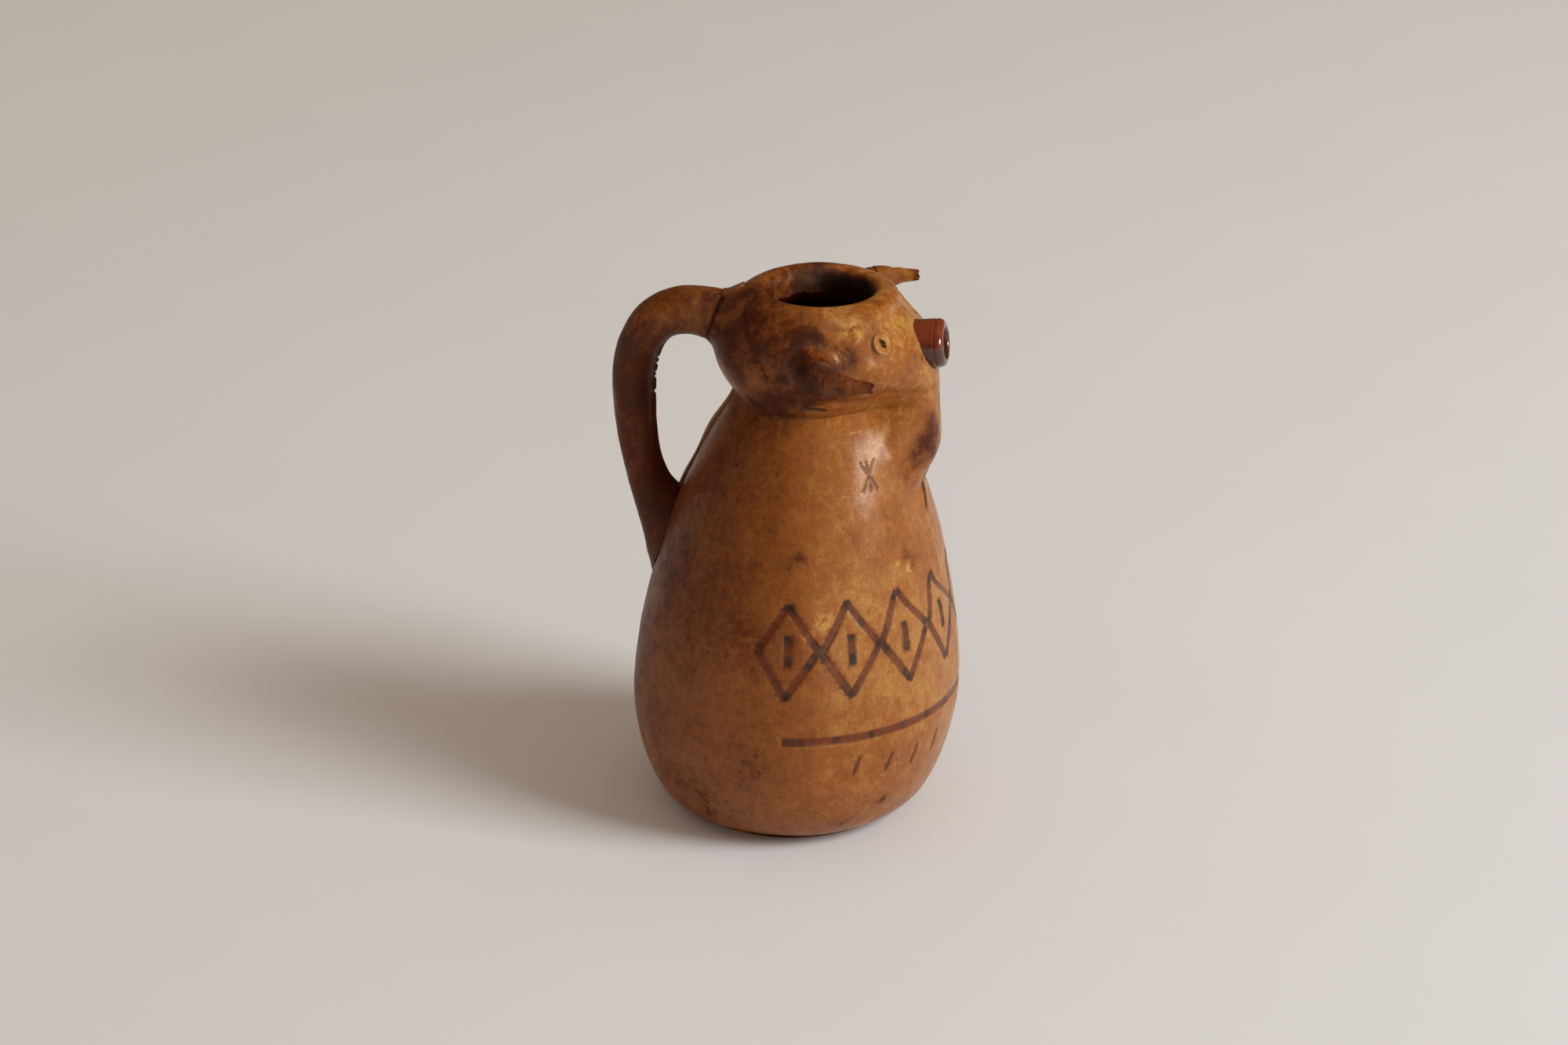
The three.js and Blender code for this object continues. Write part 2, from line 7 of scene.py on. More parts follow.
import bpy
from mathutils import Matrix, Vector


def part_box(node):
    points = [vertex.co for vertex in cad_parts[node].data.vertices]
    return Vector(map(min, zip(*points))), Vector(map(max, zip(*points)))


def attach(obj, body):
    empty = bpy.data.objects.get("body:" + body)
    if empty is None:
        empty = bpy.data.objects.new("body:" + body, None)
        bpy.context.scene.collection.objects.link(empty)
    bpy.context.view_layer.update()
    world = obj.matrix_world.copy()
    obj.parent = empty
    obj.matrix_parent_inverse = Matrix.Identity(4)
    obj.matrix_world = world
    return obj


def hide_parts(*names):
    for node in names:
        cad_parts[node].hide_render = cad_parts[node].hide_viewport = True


bl_info = {
    "name": "Leather-covered pitcher",
    "version": (1, 0, 0),
    "blender": (4, 5, 0),
    "location": "View3D > Sidebar > Pitcher",
    "description": "Models an earthenware pitcher dressed in moulded hide, with its stage",
    "category": "Add Mesh",
}

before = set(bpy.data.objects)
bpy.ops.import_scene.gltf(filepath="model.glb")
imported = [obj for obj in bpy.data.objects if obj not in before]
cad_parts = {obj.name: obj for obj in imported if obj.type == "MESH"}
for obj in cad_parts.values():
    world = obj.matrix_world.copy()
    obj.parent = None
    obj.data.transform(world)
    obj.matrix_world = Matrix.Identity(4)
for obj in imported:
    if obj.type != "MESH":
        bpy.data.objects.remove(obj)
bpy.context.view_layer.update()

import math
from contextlib import contextmanager

import bmesh
import bpy
import numpy as np
from bpy.props import FloatProperty, FloatVectorProperty, IntProperty, PointerProperty
from mathutils import Matrix, Vector, noise

MM = 0.001
TAU = 2 * math.pi
UP = np.array([0.0, 0.0, 1.0])
SIDEWAYS = np.array([0.0, 1.0, 0.0])
LEFT, RIGHT = 1, -1
SIDE_NAMES = {LEFT: "left", RIGHT: "right"}
SAME_PLACE = 0.01 * MM


def mm(*values):
    """Lengths given in millimetres, in metres."""
    return tuple(value * MM for value in values)


# Thicknesses and clearances
WALL = 5 * MM
GLUE = 0.3 * MM
SLEEVE = 2 * MM
TIP_HIDE = 0.9 * MM
TAB_HIDE = 1.6 * MM

# Outline of the hide: radii of its outer face and levels
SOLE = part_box("base_disc")[1].z
UNDER_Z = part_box("left_cover")[0].z
FOOT_R = 50.8 * MM
FLANGE = 9 * MM
BELLY_R = 75.7 * MM
BELLY_Z = 57 * MM
NECK_R = 31.3 * MM
NECK_Z = 204 * MM
NECK_FILL = 2.2 * MM
HEAD_R = 45.5 * MM
HEAD_Z = 227 * MM
CREST_Z = 254 * MM
LIP_R = 28 * MM
MOUTH_R = 22.5 * MM
LIP_DROP = 8 * MM
TURN_IN = 12 * MM
LEAN = 9.7 * MM
NOD = 3.5 * MM

# Pulls of the outline's curves
FOOT_PULL = 20 * MM
BELLY_PULL_DOWN = 6 * MM
BELLY_PULL_UP = 34 * MM
SHOULDER_PULL_OUT = 30.6 * MM
SHOULDER_PULL_DOWN = 44.8 * MM
JAW_PULL_OUT = 6 * MM
JAW_PULL_UP = 2.5 * MM
CHEEK_PULL_DOWN = 9 * MM
CHEEK_PULL_UP = 14 * MM
CROWN_PULL = 8 * MM
QUARTER_ROUND = 0.5523

# Dewlap, snout and forehead
DEWLAP_OUT = 27.3 * MM
DEWLAP_Z = 195 * MM
CREASE_Z = 163 * MM
BROW_Z = 245 * MM
DEWLAP_HALF_ANGLE = math.radians(20)
SNOUT_HALF_ANGLE = math.radians(36)
SNOUT_EASE = 3.2
SIDE_EASE = 4
FOREHEAD_Z = 246 * MM
FOREHEAD_HOLLOW = 4 * MM
FOREHEAD_HALF_HEIGHT = 6.5 * MM
FOREHEAD_HALF_ANGLE = math.radians(30)
FOREHEAD_FADE = 8 * MM

# Faces of the covers: how much closer they lie beside the seams, at the front, and on neck and head
SEAM_CLOSENESS = 0.45
FRONT_CLOSENESS = 0.25
HEAD_CLOSENESS = 0.5
HEAD_STARTS = mm(175, 200)

# Seams: angles that belong to the front and the back one, and where the halves gape, wander, close and curl.
# A pair of levels is a gradual change.
FRONT_UP_TO = 1.0
BACK_FROM = 2.0
SLIT_Z = 162 * MM
SLIT_HALF = 13 * MM
SLIT_FADE = 4 * MM
SLIT_LIP = 0.6 * MM
SLIT_LIP_WIDTH = 7 * MM
SEAM_WANDER = 9 * MM
WANDER_LEVELS = mm(106, 124), mm(148, 166)
SEAM_CLOSING = 0.97
FRONT_CLOSED = mm(226, 234)
BACK_CLOSED = mm(240, 246)
FRONT_CURL_LEVELS = mm(100, 125), mm(158, 170)
BACK_CURL_LEVELS = mm(110, 135), mm(200, 208)
CURL_WIDTH = 3 * MM
CURL_HEIGHTS = {LEFT: mm(0.4, 3.2), RIGHT: mm(1.1, 0.2)}
PALE_EDGE_WIDTH = 1.5 * MM

# Ragged edge of the hide inside the mouth: its height, its depth, and share, scale and seed of each layer
RAGGED_HEIGHT = 1.6 * MM
RAGGED_DEPTH = 4 * MM
RAGGED_LAYERS = ((0.8, 140, 31), (0.9, 420, 37))

# Holes in the covers: how far from its middle each one's edge may lie
SPOUT_HOLE_REACH = 60 * MM
EYE_HOLE_REACH = 9 * MM
HANDLE_HOLE_REACH = 40 * MM

# Spout: the levels of its groove, and where its plain body and its plain bore stop, are measured from its end
SPOUT_Z = 230 * MM
SPOUT_TILT = math.radians(6)
SPOUT_SHOW = 7.7 * MM
SPOUT_R = 11 * MM
SPOUT_BORE_R = 6.3 * MM
SPOUT_LIP = 3 * MM
SPOUT_GROOVE = 0.25 * MM
SPOUT_GROOVE_LEVELS = mm(4.6, 4.1, 3.6)
SPOUT_BODY_STOP = 5.2 * MM
SPOUT_BORE_STOP = 5 * MM
SPOUT_WOBBLE = 0.25 * MM
SPOUT_SET_IN = 6 * MM
BORE_CUTTER = 50 * MM

# Handle, with the pulls of its line and the collar of the head's hide round its upper root
HANDLE_R = 10 * MM
HANDLE_LOW_R = 8.9 * MM
HANDLE_ROOT_R = 12.8 * MM
HANDLE_FOOT_R = 13 * MM
HANDLE_REACH = 73.2 * MM
HANDLE_TOP_Z = 236 * MM
GRIP_Z = 200 * MM
HANDLE_FOOT_Z = 124 * MM
HANDLE_ARCH_BACK = 33 * MM
HANDLE_ARCH_UP = 13 * MM
HANDLE_GRIP_PULL = 25 * MM
HANDLE_DROP_PULL = 38 * MM
HANDLE_FOOT_BACK = 11 * MM
HANDLE_FOOT_UP = 32 * MM
HANDLE_TAPER = 0.35
HANDLE_THIN = (0.45, 0.7)
HANDLE_BURIED = 0.1
COLLAR_R = 19 * MM
COLLAR_TOP_R = 12.3 * MM
COLLAR_RISE = 3.4 * MM

# Sleeve of the handle: faces, ends, unevenness as height, scale and seed of each layer, the lip of its seam
# with notches, and the flare at the belly. Reach and height of the flare are a value for all round and one
# that is added on the inner side. Places along the handle are shares of its length.
SLEEVE_SIDES = 64
SLEEVE_ROWS = 190
SLEEVE_TRIALS = 700
SLEEVE_SLIT = 0.006
SLEEVE_ON_COLLAR = 0.93
SLEEVE_OFF_BELLY = 0.15 * MM
SLEEVE_LAYERS = ((0.28 * MM, 60, 5), (0.12 * MM, 170, 9))
SEAM_NOTCHES = (0.36, 0.385, 0.42, 0.437, 0.49)
NOTCH_WIDTH = 0.006
NOTCH_DEPTH = 0.75
SEAM_LIP_SHARES = (0.2, 0.34), (0.72, 0.84)
SEAM_LIP = 1.3 * MM
SEAM_LIP_WIDTH = 1.2 * MM
SEAM_FLAT = 0.9 * MM
SEAM_FLAT_WIDTH = 8 * MM
FLARE_SHARES = (0.55, 0.7)
FLARE_INNER_WIDTH = 14 * MM
FLARE_REACH = mm(5, 9)
FLARE_HEIGHT = mm(0.8, 3.8)

# Where the sleeve is dark: below a level, beside its upper joint, and painted shade just above the belly
DARK_BELOW = mm(212, 240)
JOINT_DARK = mm(0.4, 1.3)
FOOT_PAINTED_SHADE = mm(0.5, 7)

# Tab at the handle's upper root
TAB_LIFT = 6.5 * MM
TAB_LENGTH = 12.5 * MM
TAB_HALF_WIDTH = 4.4 * MM
TAB_STRAIGHT = 0.35
TAB_WAVE = 0.25 * MM
TAB_CENTRE_Z = 225 * MM

# Horns
HORN_ANGLE = math.radians(80)
HORN_Z = 229 * MM
HORN_ROOT_R = 14 * MM
HORN_TIP_R = 2.5 * MM
HORN_SPREAD = 15.5 * MM
HORN_REACH = 28.6 * MM
HORN_RISE = {LEFT: 10 * MM, RIGHT: 2 * MM}
HORN_JOINT = 0.62
HORN_EASE = 1.2
HORN_CREST = {LEFT: 2 * MM, RIGHT: 0.0}
HORN_CREST_AT = 0.4
HORN_CREST_WIDTH = 0.25
HORN_FILLET_OUT = 7 * MM
HORN_FILLET_UP = 9 * MM
HORN_SETTLE = 6 * MM

# Rolled horn tips: turns of the roll, slant of its edge and the share of it that lies under. For each tip:
# how much thinner it is at the joint, how dark at joint and nose, its tan at the root and the change of it.
TIP_TURNS = 1.22
TIP_START = 2.4
TIP_SLANT = 1.9
TIP_LAP = 0.3
TIP_PUFF = 0.12 * MM
TIP_LOOSE = 0.25 * MM
TIP_SKIVED = {LEFT: 0.3 * MM, RIGHT: 0.02 * MM}
TIP_DARKNESS = {LEFT: (0.6, 0.8), RIGHT: (0.0, 0.5)}
TIP_TAN = {LEFT: (0.15, 2.4), RIGHT: (0.95, 0.4)}

# Eyes: a plug's outline as radius and height in mm, its tilt and its slot. The rings of the socket and of the
# brow round it are given by their radius and width.
EYE_ANGLE = math.radians(38.7)
EYE_Z = 239 * MM
EYE_R = 5 * MM
EYE_PROFILE = (
    (0, -2.0), (1.3, -2.0), (1.4, 0.4), (1.6, 0.65), (2.4, 0.8), (3.4, 0.85),
    (4.4, 0.85), (4.95, 0.7), (5.22, 0.2), (5.22, -2.5), (0, -2.5),
)
EYE_TILT = 0.19
EYE_SUNK = 0.15 * MM
EYE_TURN = -0.2
EYE_ROUNDING = 0.18 * MM
EYE_UNEVEN = 0.2 * MM
SLOT_REACH = mm(1.5, 3.8)
SLOT_LONGER = 0.7
SLOT_NARROWER = 0.25
SLOT_BEND = 0.6 * MM
SOCKET_RING = mm(7, 3)
SOCKET_DEPTH = 0.9 * MM
BROW_RING = mm(13, 3.4)
BROW_HEIGHT = 0.5 * MM

# Sheen of the hide: levels between which it is dull under the jaw, and the dull patch round an eye
DULL_JAW_LEVELS = mm(194.5, 197), mm(208, 213)
DULL_JAW = 0.95
DULL_EYE_R = 15 * MM
DULL_EYE = 0.85

# Folds pressed into each half: places as degrees from the front and level in mm, then depth and width in mm
FOLDS = {
    "fold of the jaw": (((122, 216), (97, 213.6), (76, 213), (60, 213.4), (46, 212), (34, 216)), 0.6, 3.0),
    "wrinkle of the neck": (((92, 206), (70, 203.5), (50, 206)), 0.5, 2.0),
    "line of the mouth": (((34, 216.4), (21, 214), (12, 212.2), (7, 213.4)), 0.2, 1.6),
    "side of the dewlap": (((24, 212), (22, 202), (24, 193), (29, 186)), 0.35, 2.4),
    "fold behind the horn": (((118, 236), (108, 226), (103, 217)), 0.6, 3.0),
    "brow": (((76, 249), (60, 246.5), (50, 247)), 0.6, 2.2),
}

# A fold fades at its ends and has a bank beside it, whose height, distance and width are shares of the fold's
FOLD_ENDS = (0.08, 0.84)
FOLD_FADE = 0.6
BANK_HEIGHT = 0.35
BANK_AWAY = 2.2
BANK_WIDTH = 1.4

# Swellings of each half: degrees from the front and level in mm, then height and radius in mm
SWELLINGS = {
    "cheek": ((40, 225), 1.6, 11),
    "eyelid": ((56, 243), 1.5, 5.5),
    "temple": ((98, 242), 0.9, 13),
    "shoulder": ((45, 188), 0.8, 14),
    "dewlap": ((12, 190), 0.8, 10),
    "throat": ((5, 179), 2.0, 9),
    "breast": ((2, 140), 1.3, 24),
    "snout above the spout": ((0, 244), 1.8, 7),
}

# Hand-made unevenness: share of its height, scale and seed of each layer
UNEVEN_LAYERS = ((1, 28, 3), (0.3, 95, 7), (0.08, 230, 61))

# Tan of the hide from front to back, darker towards the back: partly tan, partly painted shade
TAN_AND_SHADE_ANGLES = np.radians((45, 115))
TAN_AND_SHADE_FRONT = -0.15
TAN_AND_SHADE_RISE = 0.6
# Painted shade in the mouth: how dark it is in shadow and how much less so in light
MOUTH_LIT_ANGLES = np.radians((85, 140))
MOUTH_PAINTED_SHADE = (0.85, 0.4)
MOUTH_PAINTED_SHADE_TAN = (1.2, 1.2)
COLLAR_STAIN = 0.55

# How the outlines of stains wander: reach, scale and first seed of each layer
STAIN_WANDER = ((7 * MM, 55, 41), (3 * MM, 170, 51))

# Dark stains in the hide, and painted shade behind the eye: degrees from the front and level in mm, then
# radius in mm and strength. Broad ones darken the hide evenly, the others in blots.
BROAD_STAIN = 20
STAINS_AND_SHADE = {
    RIGHT: (
        ((118, 236), 22, 0.6),
        ((140, 243), 16, 0.35),
        ((168, 236), 21, 0.5),
        ((102, 239), 4, 0.7),
        ((76, 244), 4, 0.7),
        ((102, 231), 5, 0.6),
        ((112, 234), 11, 0.35),
        ((88, 229), 9, 0.5),
        ((3, 184), 7, 0.7),
        ((86, 241), 9, 0.6),
        # painted shade in the hollow behind the eye
        ((64, 236), 7, 0.7),
        ((74, 226), 7, 0.7),
        ((80, 212), 12, 0.7),
        ((112, 209), 15, 0.55),
        ((52, 211), 6, 0.4),
        ((14, 182), 7, 0.8),
        ((11, 191), 8, 0.7),
        ((20, 175), 5, 0.5),
        ((26, 200), 4, 0.6),
        ((85, 141), 5, 0.4),
        ((79, 145), 5, 0.45),
        ((48, 150), 15, 0.28),
        ((95, 172), 22, 0.3),
        ((88, 115), 34, 0.35),
        ((135, 175), 34, 0.55),
        ((150, 120), 44, 0.5),
        ((160, 60), 40, 0.4),
        ((96, 44), 16, 0.2),
        ((44, 24.6), 3.5, 1.0),
        ((112, 18), 14, 0.42),
        ((60, 14), 10, 0.4),
        ((117, 74), 2, 1.0),
        ((24, 136), 9, 0.4),
    ),
    LEFT: (
        ((125, 238), 22, 0.7),
        ((168, 236), 17, 0.6),
        ((85, 238), 12, 0.3),
        ((75, 212), 14, 0.75),
        ((20, 192), 11, 0.6),
        ((140, 170), 36, 0.6),
        ((60, 150), 12, 0.45),
        ((150, 110), 42, 0.5),
        ((100, 95), 14, 0.35),
        ((70, 40), 16, 0.45),
        ((120, 20), 16, 0.55),
        ((30, 20), 10, 0.4),
    ),
}

# Pale rubbed patches, fainter on the left half, those on brow and cheek partly painted highlight:
# degrees from the front and level in mm, then radius in mm
SCUFFS_AND_HIGHLIGHTS = (
    ((33, 206), 2.6),
    ((66, 237.5), 3.6),
    ((70, 118), 4.5),
    ((76, 112), 3),
    ((26, 133), 2.5),
    ((32, 137), 2),
    ((57, 246), 4.5),
)

# Burnt ornament: a band of lozenges with upright bars in them, above a stripe, with cuts below
BAND_Z = 105 * MM
BAND_PITCH = math.radians(24)
BAND_MOTIFS = 4
LOZENGE_HALF_WIDTH = 14 * MM
LOZENGE_HALF_HEIGHT = 22 * MM
BAR_HALF_HEIGHT = 7 * MM
STRIPE_Z = 62.5 * MM
STRIPE_END = math.radians(84)
CUT_PLACES = ((57, 47.5), (44, 45), (32, 44.5), (20, 45.5))
CUT_LENGTH = 11 * MM
CUT_LEAN = 3 * MM
CUT_WIDTH = 2 * MM
STAR_PLACE = (43.4, 177.2)
STAR_HALF_HEIGHT = 7.2 * MM
STAR_LEANS = (-4.2 * MM, 0.4 * MM, 4 * MM)
STAR_WIDTH = 0.9 * MM
JAW_SLIT_PLACE = (76, 208.8)
JAW_SLIT_LENGTH = 10 * MM
JAW_SLIT_WIDTH = 2.6 * MM
JAW_SLIT_LEAN = 0.8 * MM
STRIPE_OVERLAP = 3 * MM
STRIPE_BROADER = 1.05
HAND_SHAKE = 0.7 * MM
HAND_SEEDS = {LEFT: 23, RIGHT: 11}

# How each kind of mark is made: depth, and how sooty and how burnt it is
MARK_KINDS = {
    "cut": (0.4 * MM, 0.55, 0.8),
    "incised": (0.22 * MM, 0.6, 0.8),
    # In a slit the soot is painted shade in its depth
    "slit": (1.5 * MM, 1.0, 0.0),
}
MARK_SOFT = 0.45 * MM
MARK_MARGIN = 1.4 * MM
MARK_END_MARGIN = 1.6 * MM

# Soot on a burnt stroke: at its ends, at knots where the iron rested, along its rims and in fine ticks
SOOTY_START = 4.5 * MM
SOOTY_STOP = 3.5 * MM
SOOTY_RIM = 0.6 * MM
KNOT_PITCH = 17 * MM
KNOT_WIDTH = 2.2 * MM
TICK_PITCH = 4.1 * MM
TICK_PLACE = 2 * MM
TICK_WIDTH = 0.55 * MM


def linear(code):
    """A colour written as in a drawing program, as the linear values that shaders use."""
    parts = [int(code[i : i + 2], 16) / 255 for i in (1, 3, 5)]
    return [p / 12.92 if p <= 0.04045 else ((p + 0.055) / 1.055) ** 2.4 for p in parts]


def colour(name, description, code):
    """A colour that the user can change."""
    return FloatVectorProperty(
        name=name, description=description, subtype="COLOR", size=3, min=0, max=1, default=linear(code)
    )


def length(name, description, default):
    """A length that the user can change."""
    return FloatProperty(
        name=name, description=description, default=default, min=0, unit="LENGTH", precision=5
    )


def amount(name, description, default):
    """A strength that the user can change."""
    return FloatProperty(name=name, description=description, default=default, min=0)


def turning(name, description, degrees):
    """An angle that the user can change."""
    return FloatProperty(name=name, description=description, subtype="ANGLE", default=math.radians(degrees))


class PitcherHide(bpy.types.PropertyGroup):
    """Sizes and colours of the moulded hide"""

    thickness: length("Thickness", "Thickness of the hide", 2.6 * MM)
    seam: length("Seam", "Gap between the two halves", 0.5 * MM)
    gape: length("Gape", "Opening of the front seam under the dewlap", 2.4 * MM)
    edge: length("Edge", "Rounding of the cut edges", 0.9 * MM)
    stroke_width: length("Stroke width", "Width of a burnt stroke", 3.5 * MM)
    stroke_depth: length("Stroke depth", "Depth of a burnt stroke", 0.4 * MM)
    unevenness: length("Unevenness", "Hand-made unevenness of the surface", 0.55 * MM)
    rows: IntProperty(name="Rows", description="Faces from base to mouth", default=196, min=60)
    columns: IntProperty(name="Columns", description="Faces round one half", default=150, min=40)
    pale: colour("Pale", "Rubbed and bleached hide", "#c48a42")
    ochre: colour("Ochre", "Most of the hide", "#9c561b")
    umber: colour("Umber", "Stained hide", "#541e06")
    # also painted shade in the slits and in the eyes' slots
    soot_and_shade: colour("Soot_and_shade", "Darkest stains and the burnt ends", "#240f06")
    burnt: colour("Burnt", "Middle of a burnt stroke", "#7c2c0e")
    cut_edge: colour("Cut edge", "Raw edge of the hide", "#b78d5a")
    eye: colour("Eye", "Hide of the eyes", "#a8743a")


class PitcherGlaze(bpy.types.PropertyGroup):
    """Colours of the glazed earthenware"""

    red: colour("Red", "Where the glaze is thin", "#883a1d")
    brown: colour("Brown", "Where the glaze is thick", "#4a2612")
    spout_change: length("Change", "Level where the spout's glaze turns dark", 232.5 * MM)


class PitcherStage(bpy.types.PropertyGroup):
    """Camera, light and floor"""

    azimuth: turning("Azimuth", "Camera round the pitcher", 11)
    elevation: turning("Elevation", "Camera above the floor", 25.23)
    distance: length("Distance", "Camera to the pitcher", 1.79)
    lens: FloatProperty(name="Lens", description="Focal length in millimetres", default=88.8, min=10)
    floor: colour("Floor", "Paper that the pitcher stands on", "#e6e3e0")
    key_watts: amount("Key light", "Power of the window-like light", 150)
    pane_watts: amount("Pane", "Power of the window's mirror image", 135)
    ambient: amount("Ambient", "Strength of the light from all round", 0.4)


# Shape of the hide


def smooth(value, low, high):
    """0 below low, 1 above high and a smooth step between."""
    share = np.clip((value - low) / (high - low), 0, 1)
    return share * share * (3 - 2 * share)


def between(value, rise, fall):
    """A smooth step up over the pair rise, and down again over the pair fall."""
    return smooth(value, *rise) * (1 - smooth(value, *fall))


def bell(distance, width):
    """1 at no distance, fading smoothly to about a third at the width."""
    return np.exp(-((distance / width) ** 2))


def cubic(*ends_and_pulls, count=70):
    """Points along a curve from its first end, by its two pulls, to its last end."""
    a, b, c, d = (np.array(p, float) for p in ends_and_pulls)
    t = np.linspace(0, 1, count)[:, None]
    return (1 - t) ** 3 * a + 3 * (1 - t) ** 2 * t * b + 3 * (1 - t) * t**2 * c + t**3 * d


def run_of(points):
    """Length along a line of points, at each of them."""
    return np.concatenate([[0], np.cumsum(np.linalg.norm(np.diff(points, axis=0), axis=1))])


def at_run(points, run, where):
    """Points of a line at given lengths along it."""
    return np.stack([np.interp(where, run, points[:, i]) for i in range(points.shape[1])], axis=-1)


def hide_outline():
    """Radius and level of the outer face from the edge under the base to the edge in the mouth."""
    sole, belly, neck = (FOOT_R, UNDER_Z), (BELLY_R, BELLY_Z), (NECK_R, NECK_Z)
    head, crest = (HEAD_R, HEAD_Z), (LIP_R, CREST_Z)
    shoulder_pull = (NECK_R + SHOULDER_PULL_OUT, NECK_Z - SHOULDER_PULL_DOWN)
    jaw_pull = (NECK_R + JAW_PULL_OUT, NECK_Z + JAW_PULL_UP)
    flange = [(FOOT_R - FLANGE, UNDER_Z)]
    foot = cubic(sole, (FOOT_R + FOOT_PULL, UNDER_Z), (BELLY_R, BELLY_Z - BELLY_PULL_DOWN), belly)
    shoulder = cubic(belly, (BELLY_R, BELLY_Z + BELLY_PULL_UP), shoulder_pull, neck)
    jaw = cubic(neck, jaw_pull, (HEAD_R, HEAD_Z - CHEEK_PULL_DOWN), head)
    crown = cubic(head, (HEAD_R, HEAD_Z + CHEEK_PULL_UP), (LIP_R + CROWN_PULL, CREST_Z), crest)
    lip = cubic(
        crest,
        (LIP_R - QUARTER_ROUND * (LIP_R - MOUTH_R), CREST_Z),
        (MOUTH_R, CREST_Z - (1 - QUARTER_ROUND) * LIP_DROP),
        (MOUTH_R, CREST_Z - LIP_DROP),
    )
    turn_in = [(MOUTH_R, CREST_Z - TURN_IN)]
    outside = np.vstack([flange, foot, shoulder[1:], jaw[1:], crown[1:]])
    return outside, np.vstack([outside, lip[1:], turn_in])


OUTSIDE, OUTLINE = hide_outline()
OUTLINE_RUN = run_of(OUTLINE)
LIP_RUN = OUTLINE_RUN[len(OUTSIDE) - 1]


def centre_x(z):
    """Where the leaning and nodding middle of the jug stands at a level."""
    return LEAN * (z / CREST_Z) + NOD * (z / CREST_Z) ** 6


def hide_radius(z):
    return np.interp(z, OUTSIDE[:, 1], OUTSIDE[:, 0])


def run_at(z):
    """Length along the outline at a level of the body or head."""
    return np.interp(z, OUTSIDE[1:, 1], OUTLINE_RUN[1 : len(OUTSIDE)])


def round_front(z):
    return centre_x(z) + hide_radius(z)


DEWLAP_X = round_front(NECK_Z) + DEWLAP_OUT


def forehead(angle, z):
    """How far the forehead falls in above the spout."""
    level = bell(z - FOREHEAD_Z, FOREHEAD_HALF_HEIGHT) * (1 - smooth(z, CREST_Z - FOREHEAD_FADE, CREST_Z))
    return FOREHEAD_HOLLOW * level * bell(angle, FOREHEAD_HALF_ANGLE)


def swell(angle, z):
    """How far the dewlap and the snout stand out of the round body."""
    fallen = forehead(angle, z)
    z = np.clip(z, CREASE_Z, BROW_Z)
    low = round_front(CREASE_Z)
    climb = np.clip((z - CREASE_Z) / (DEWLAP_Z - CREASE_Z), 0, 1)
    below = low + (DEWLAP_X - low) * np.sin((math.pi / 2) * climb)
    fall = np.clip((z - DEWLAP_Z) / (BROW_Z - DEWLAP_Z), 0, 1) ** SNOUT_EASE
    above = DEWLAP_X - (DEWLAP_X - round_front(BROW_Z)) * fall
    out = np.maximum(0, np.where(z < DEWLAP_Z, below, above) - round_front(z))
    half = DEWLAP_HALF_ANGLE + (SNOUT_HALF_ANGLE - DEWLAP_HALF_ANGLE) * smooth(z, NECK_Z, BROW_Z)
    return out / (1 + (np.abs(angle) / half) ** SIDE_EASE) - fallen


def sheet_point(angle, run, side=LEFT):
    """Place on the outer face of the hide, by the angle from the front and the length along the outline."""
    angle, run = np.broadcast_arrays(np.asarray(angle, float), np.asarray(run, float))
    r, z = np.moveaxis(at_run(OUTLINE, OUTLINE_RUN, run), -1, 0)
    r = r + np.where(run < LIP_RUN, swell(angle, z), 0)
    return np.stack([centre_x(z) + r * np.cos(angle), side * r * np.sin(angle), z], axis=-1)


def hide_point(angle, z, side=LEFT):
    return sheet_point(angle, run_at(z), side)


def hide_outward(angle, z, side=LEFT):
    """Direction straight out of the hide."""
    reach = 0.5 * MM
    turn = reach / HEAD_R
    round_it = hide_point(angle + turn, z, side) - hide_point(angle - turn, z, side)
    upwards = hide_point(angle, z + reach, side) - hide_point(angle, z - reach, side)
    out = side * np.cross(round_it, upwards)
    return out / np.linalg.norm(out, axis=-1, keepdims=True)


def eye_seat(side):
    """Middle of an eye on the hide, and the direction straight out of it."""
    return hide_point(EYE_ANGLE, EYE_Z, side), hide_outward(EYE_ANGLE, EYE_Z, side)


def above_hide(points):
    """Roughly how far points lie outside the hide's outer face."""
    x, y, z = np.moveaxis(points, -1, 0)
    across = x - centre_x(z)
    angle = np.arctan2(np.abs(y), across)
    radius = hide_radius(z) + swell(angle, z)
    slope = (hide_radius(z + MM) - hide_radius(z - MM)) / (2 * MM)
    return (np.hypot(across, y) - radius) / np.sqrt(1 + slope**2)


def from_place(points, place, side):
    """Distance of points from a place on the hide, given in degrees and millimetres."""
    degrees, level = place
    return np.linalg.norm(points - hide_point(math.radians(degrees), level * MM, side), axis=1)


def places_on_hide(places, side, count=24):
    """A path on the hide through places given in degrees and millimetres."""
    degrees, levels = np.array(places, float).T
    steps = np.linspace(0, len(places) - 1, count)
    index = np.arange(len(places))
    angles = np.radians(np.interp(steps, index, degrees))
    return hide_point(angles, np.interp(steps, index, levels) * MM, side)


def off_path(points, path):
    """Distance from each point to a path, and the share of the path's length at the nearest place."""
    nearest = np.full(len(points), np.inf)
    share = np.zeros(len(points))
    run = run_of(path)
    for start, end, before, after in zip(path, path[1:], run, run[1:]):
        piece = end - start
        part = np.clip((points - start) @ piece / (piece @ piece), 0, 1)
        gap = np.linalg.norm(points - start - part[:, None] * piece, axis=1)
        closer = gap < nearest
        nearest[closer] = gap[closer]
        share[closer] = (before + part[closer] * (after - before)) / run[-1]
    return nearest, share


def uneven(points, scale, seed):
    """Smooth unevenness from -1 to 1, the same on each run."""
    shift = Vector((seed, 2 * seed, 3 * seed))
    return np.array([noise.noise(Vector(p) * scale + shift) for p in points])


# Shared lines


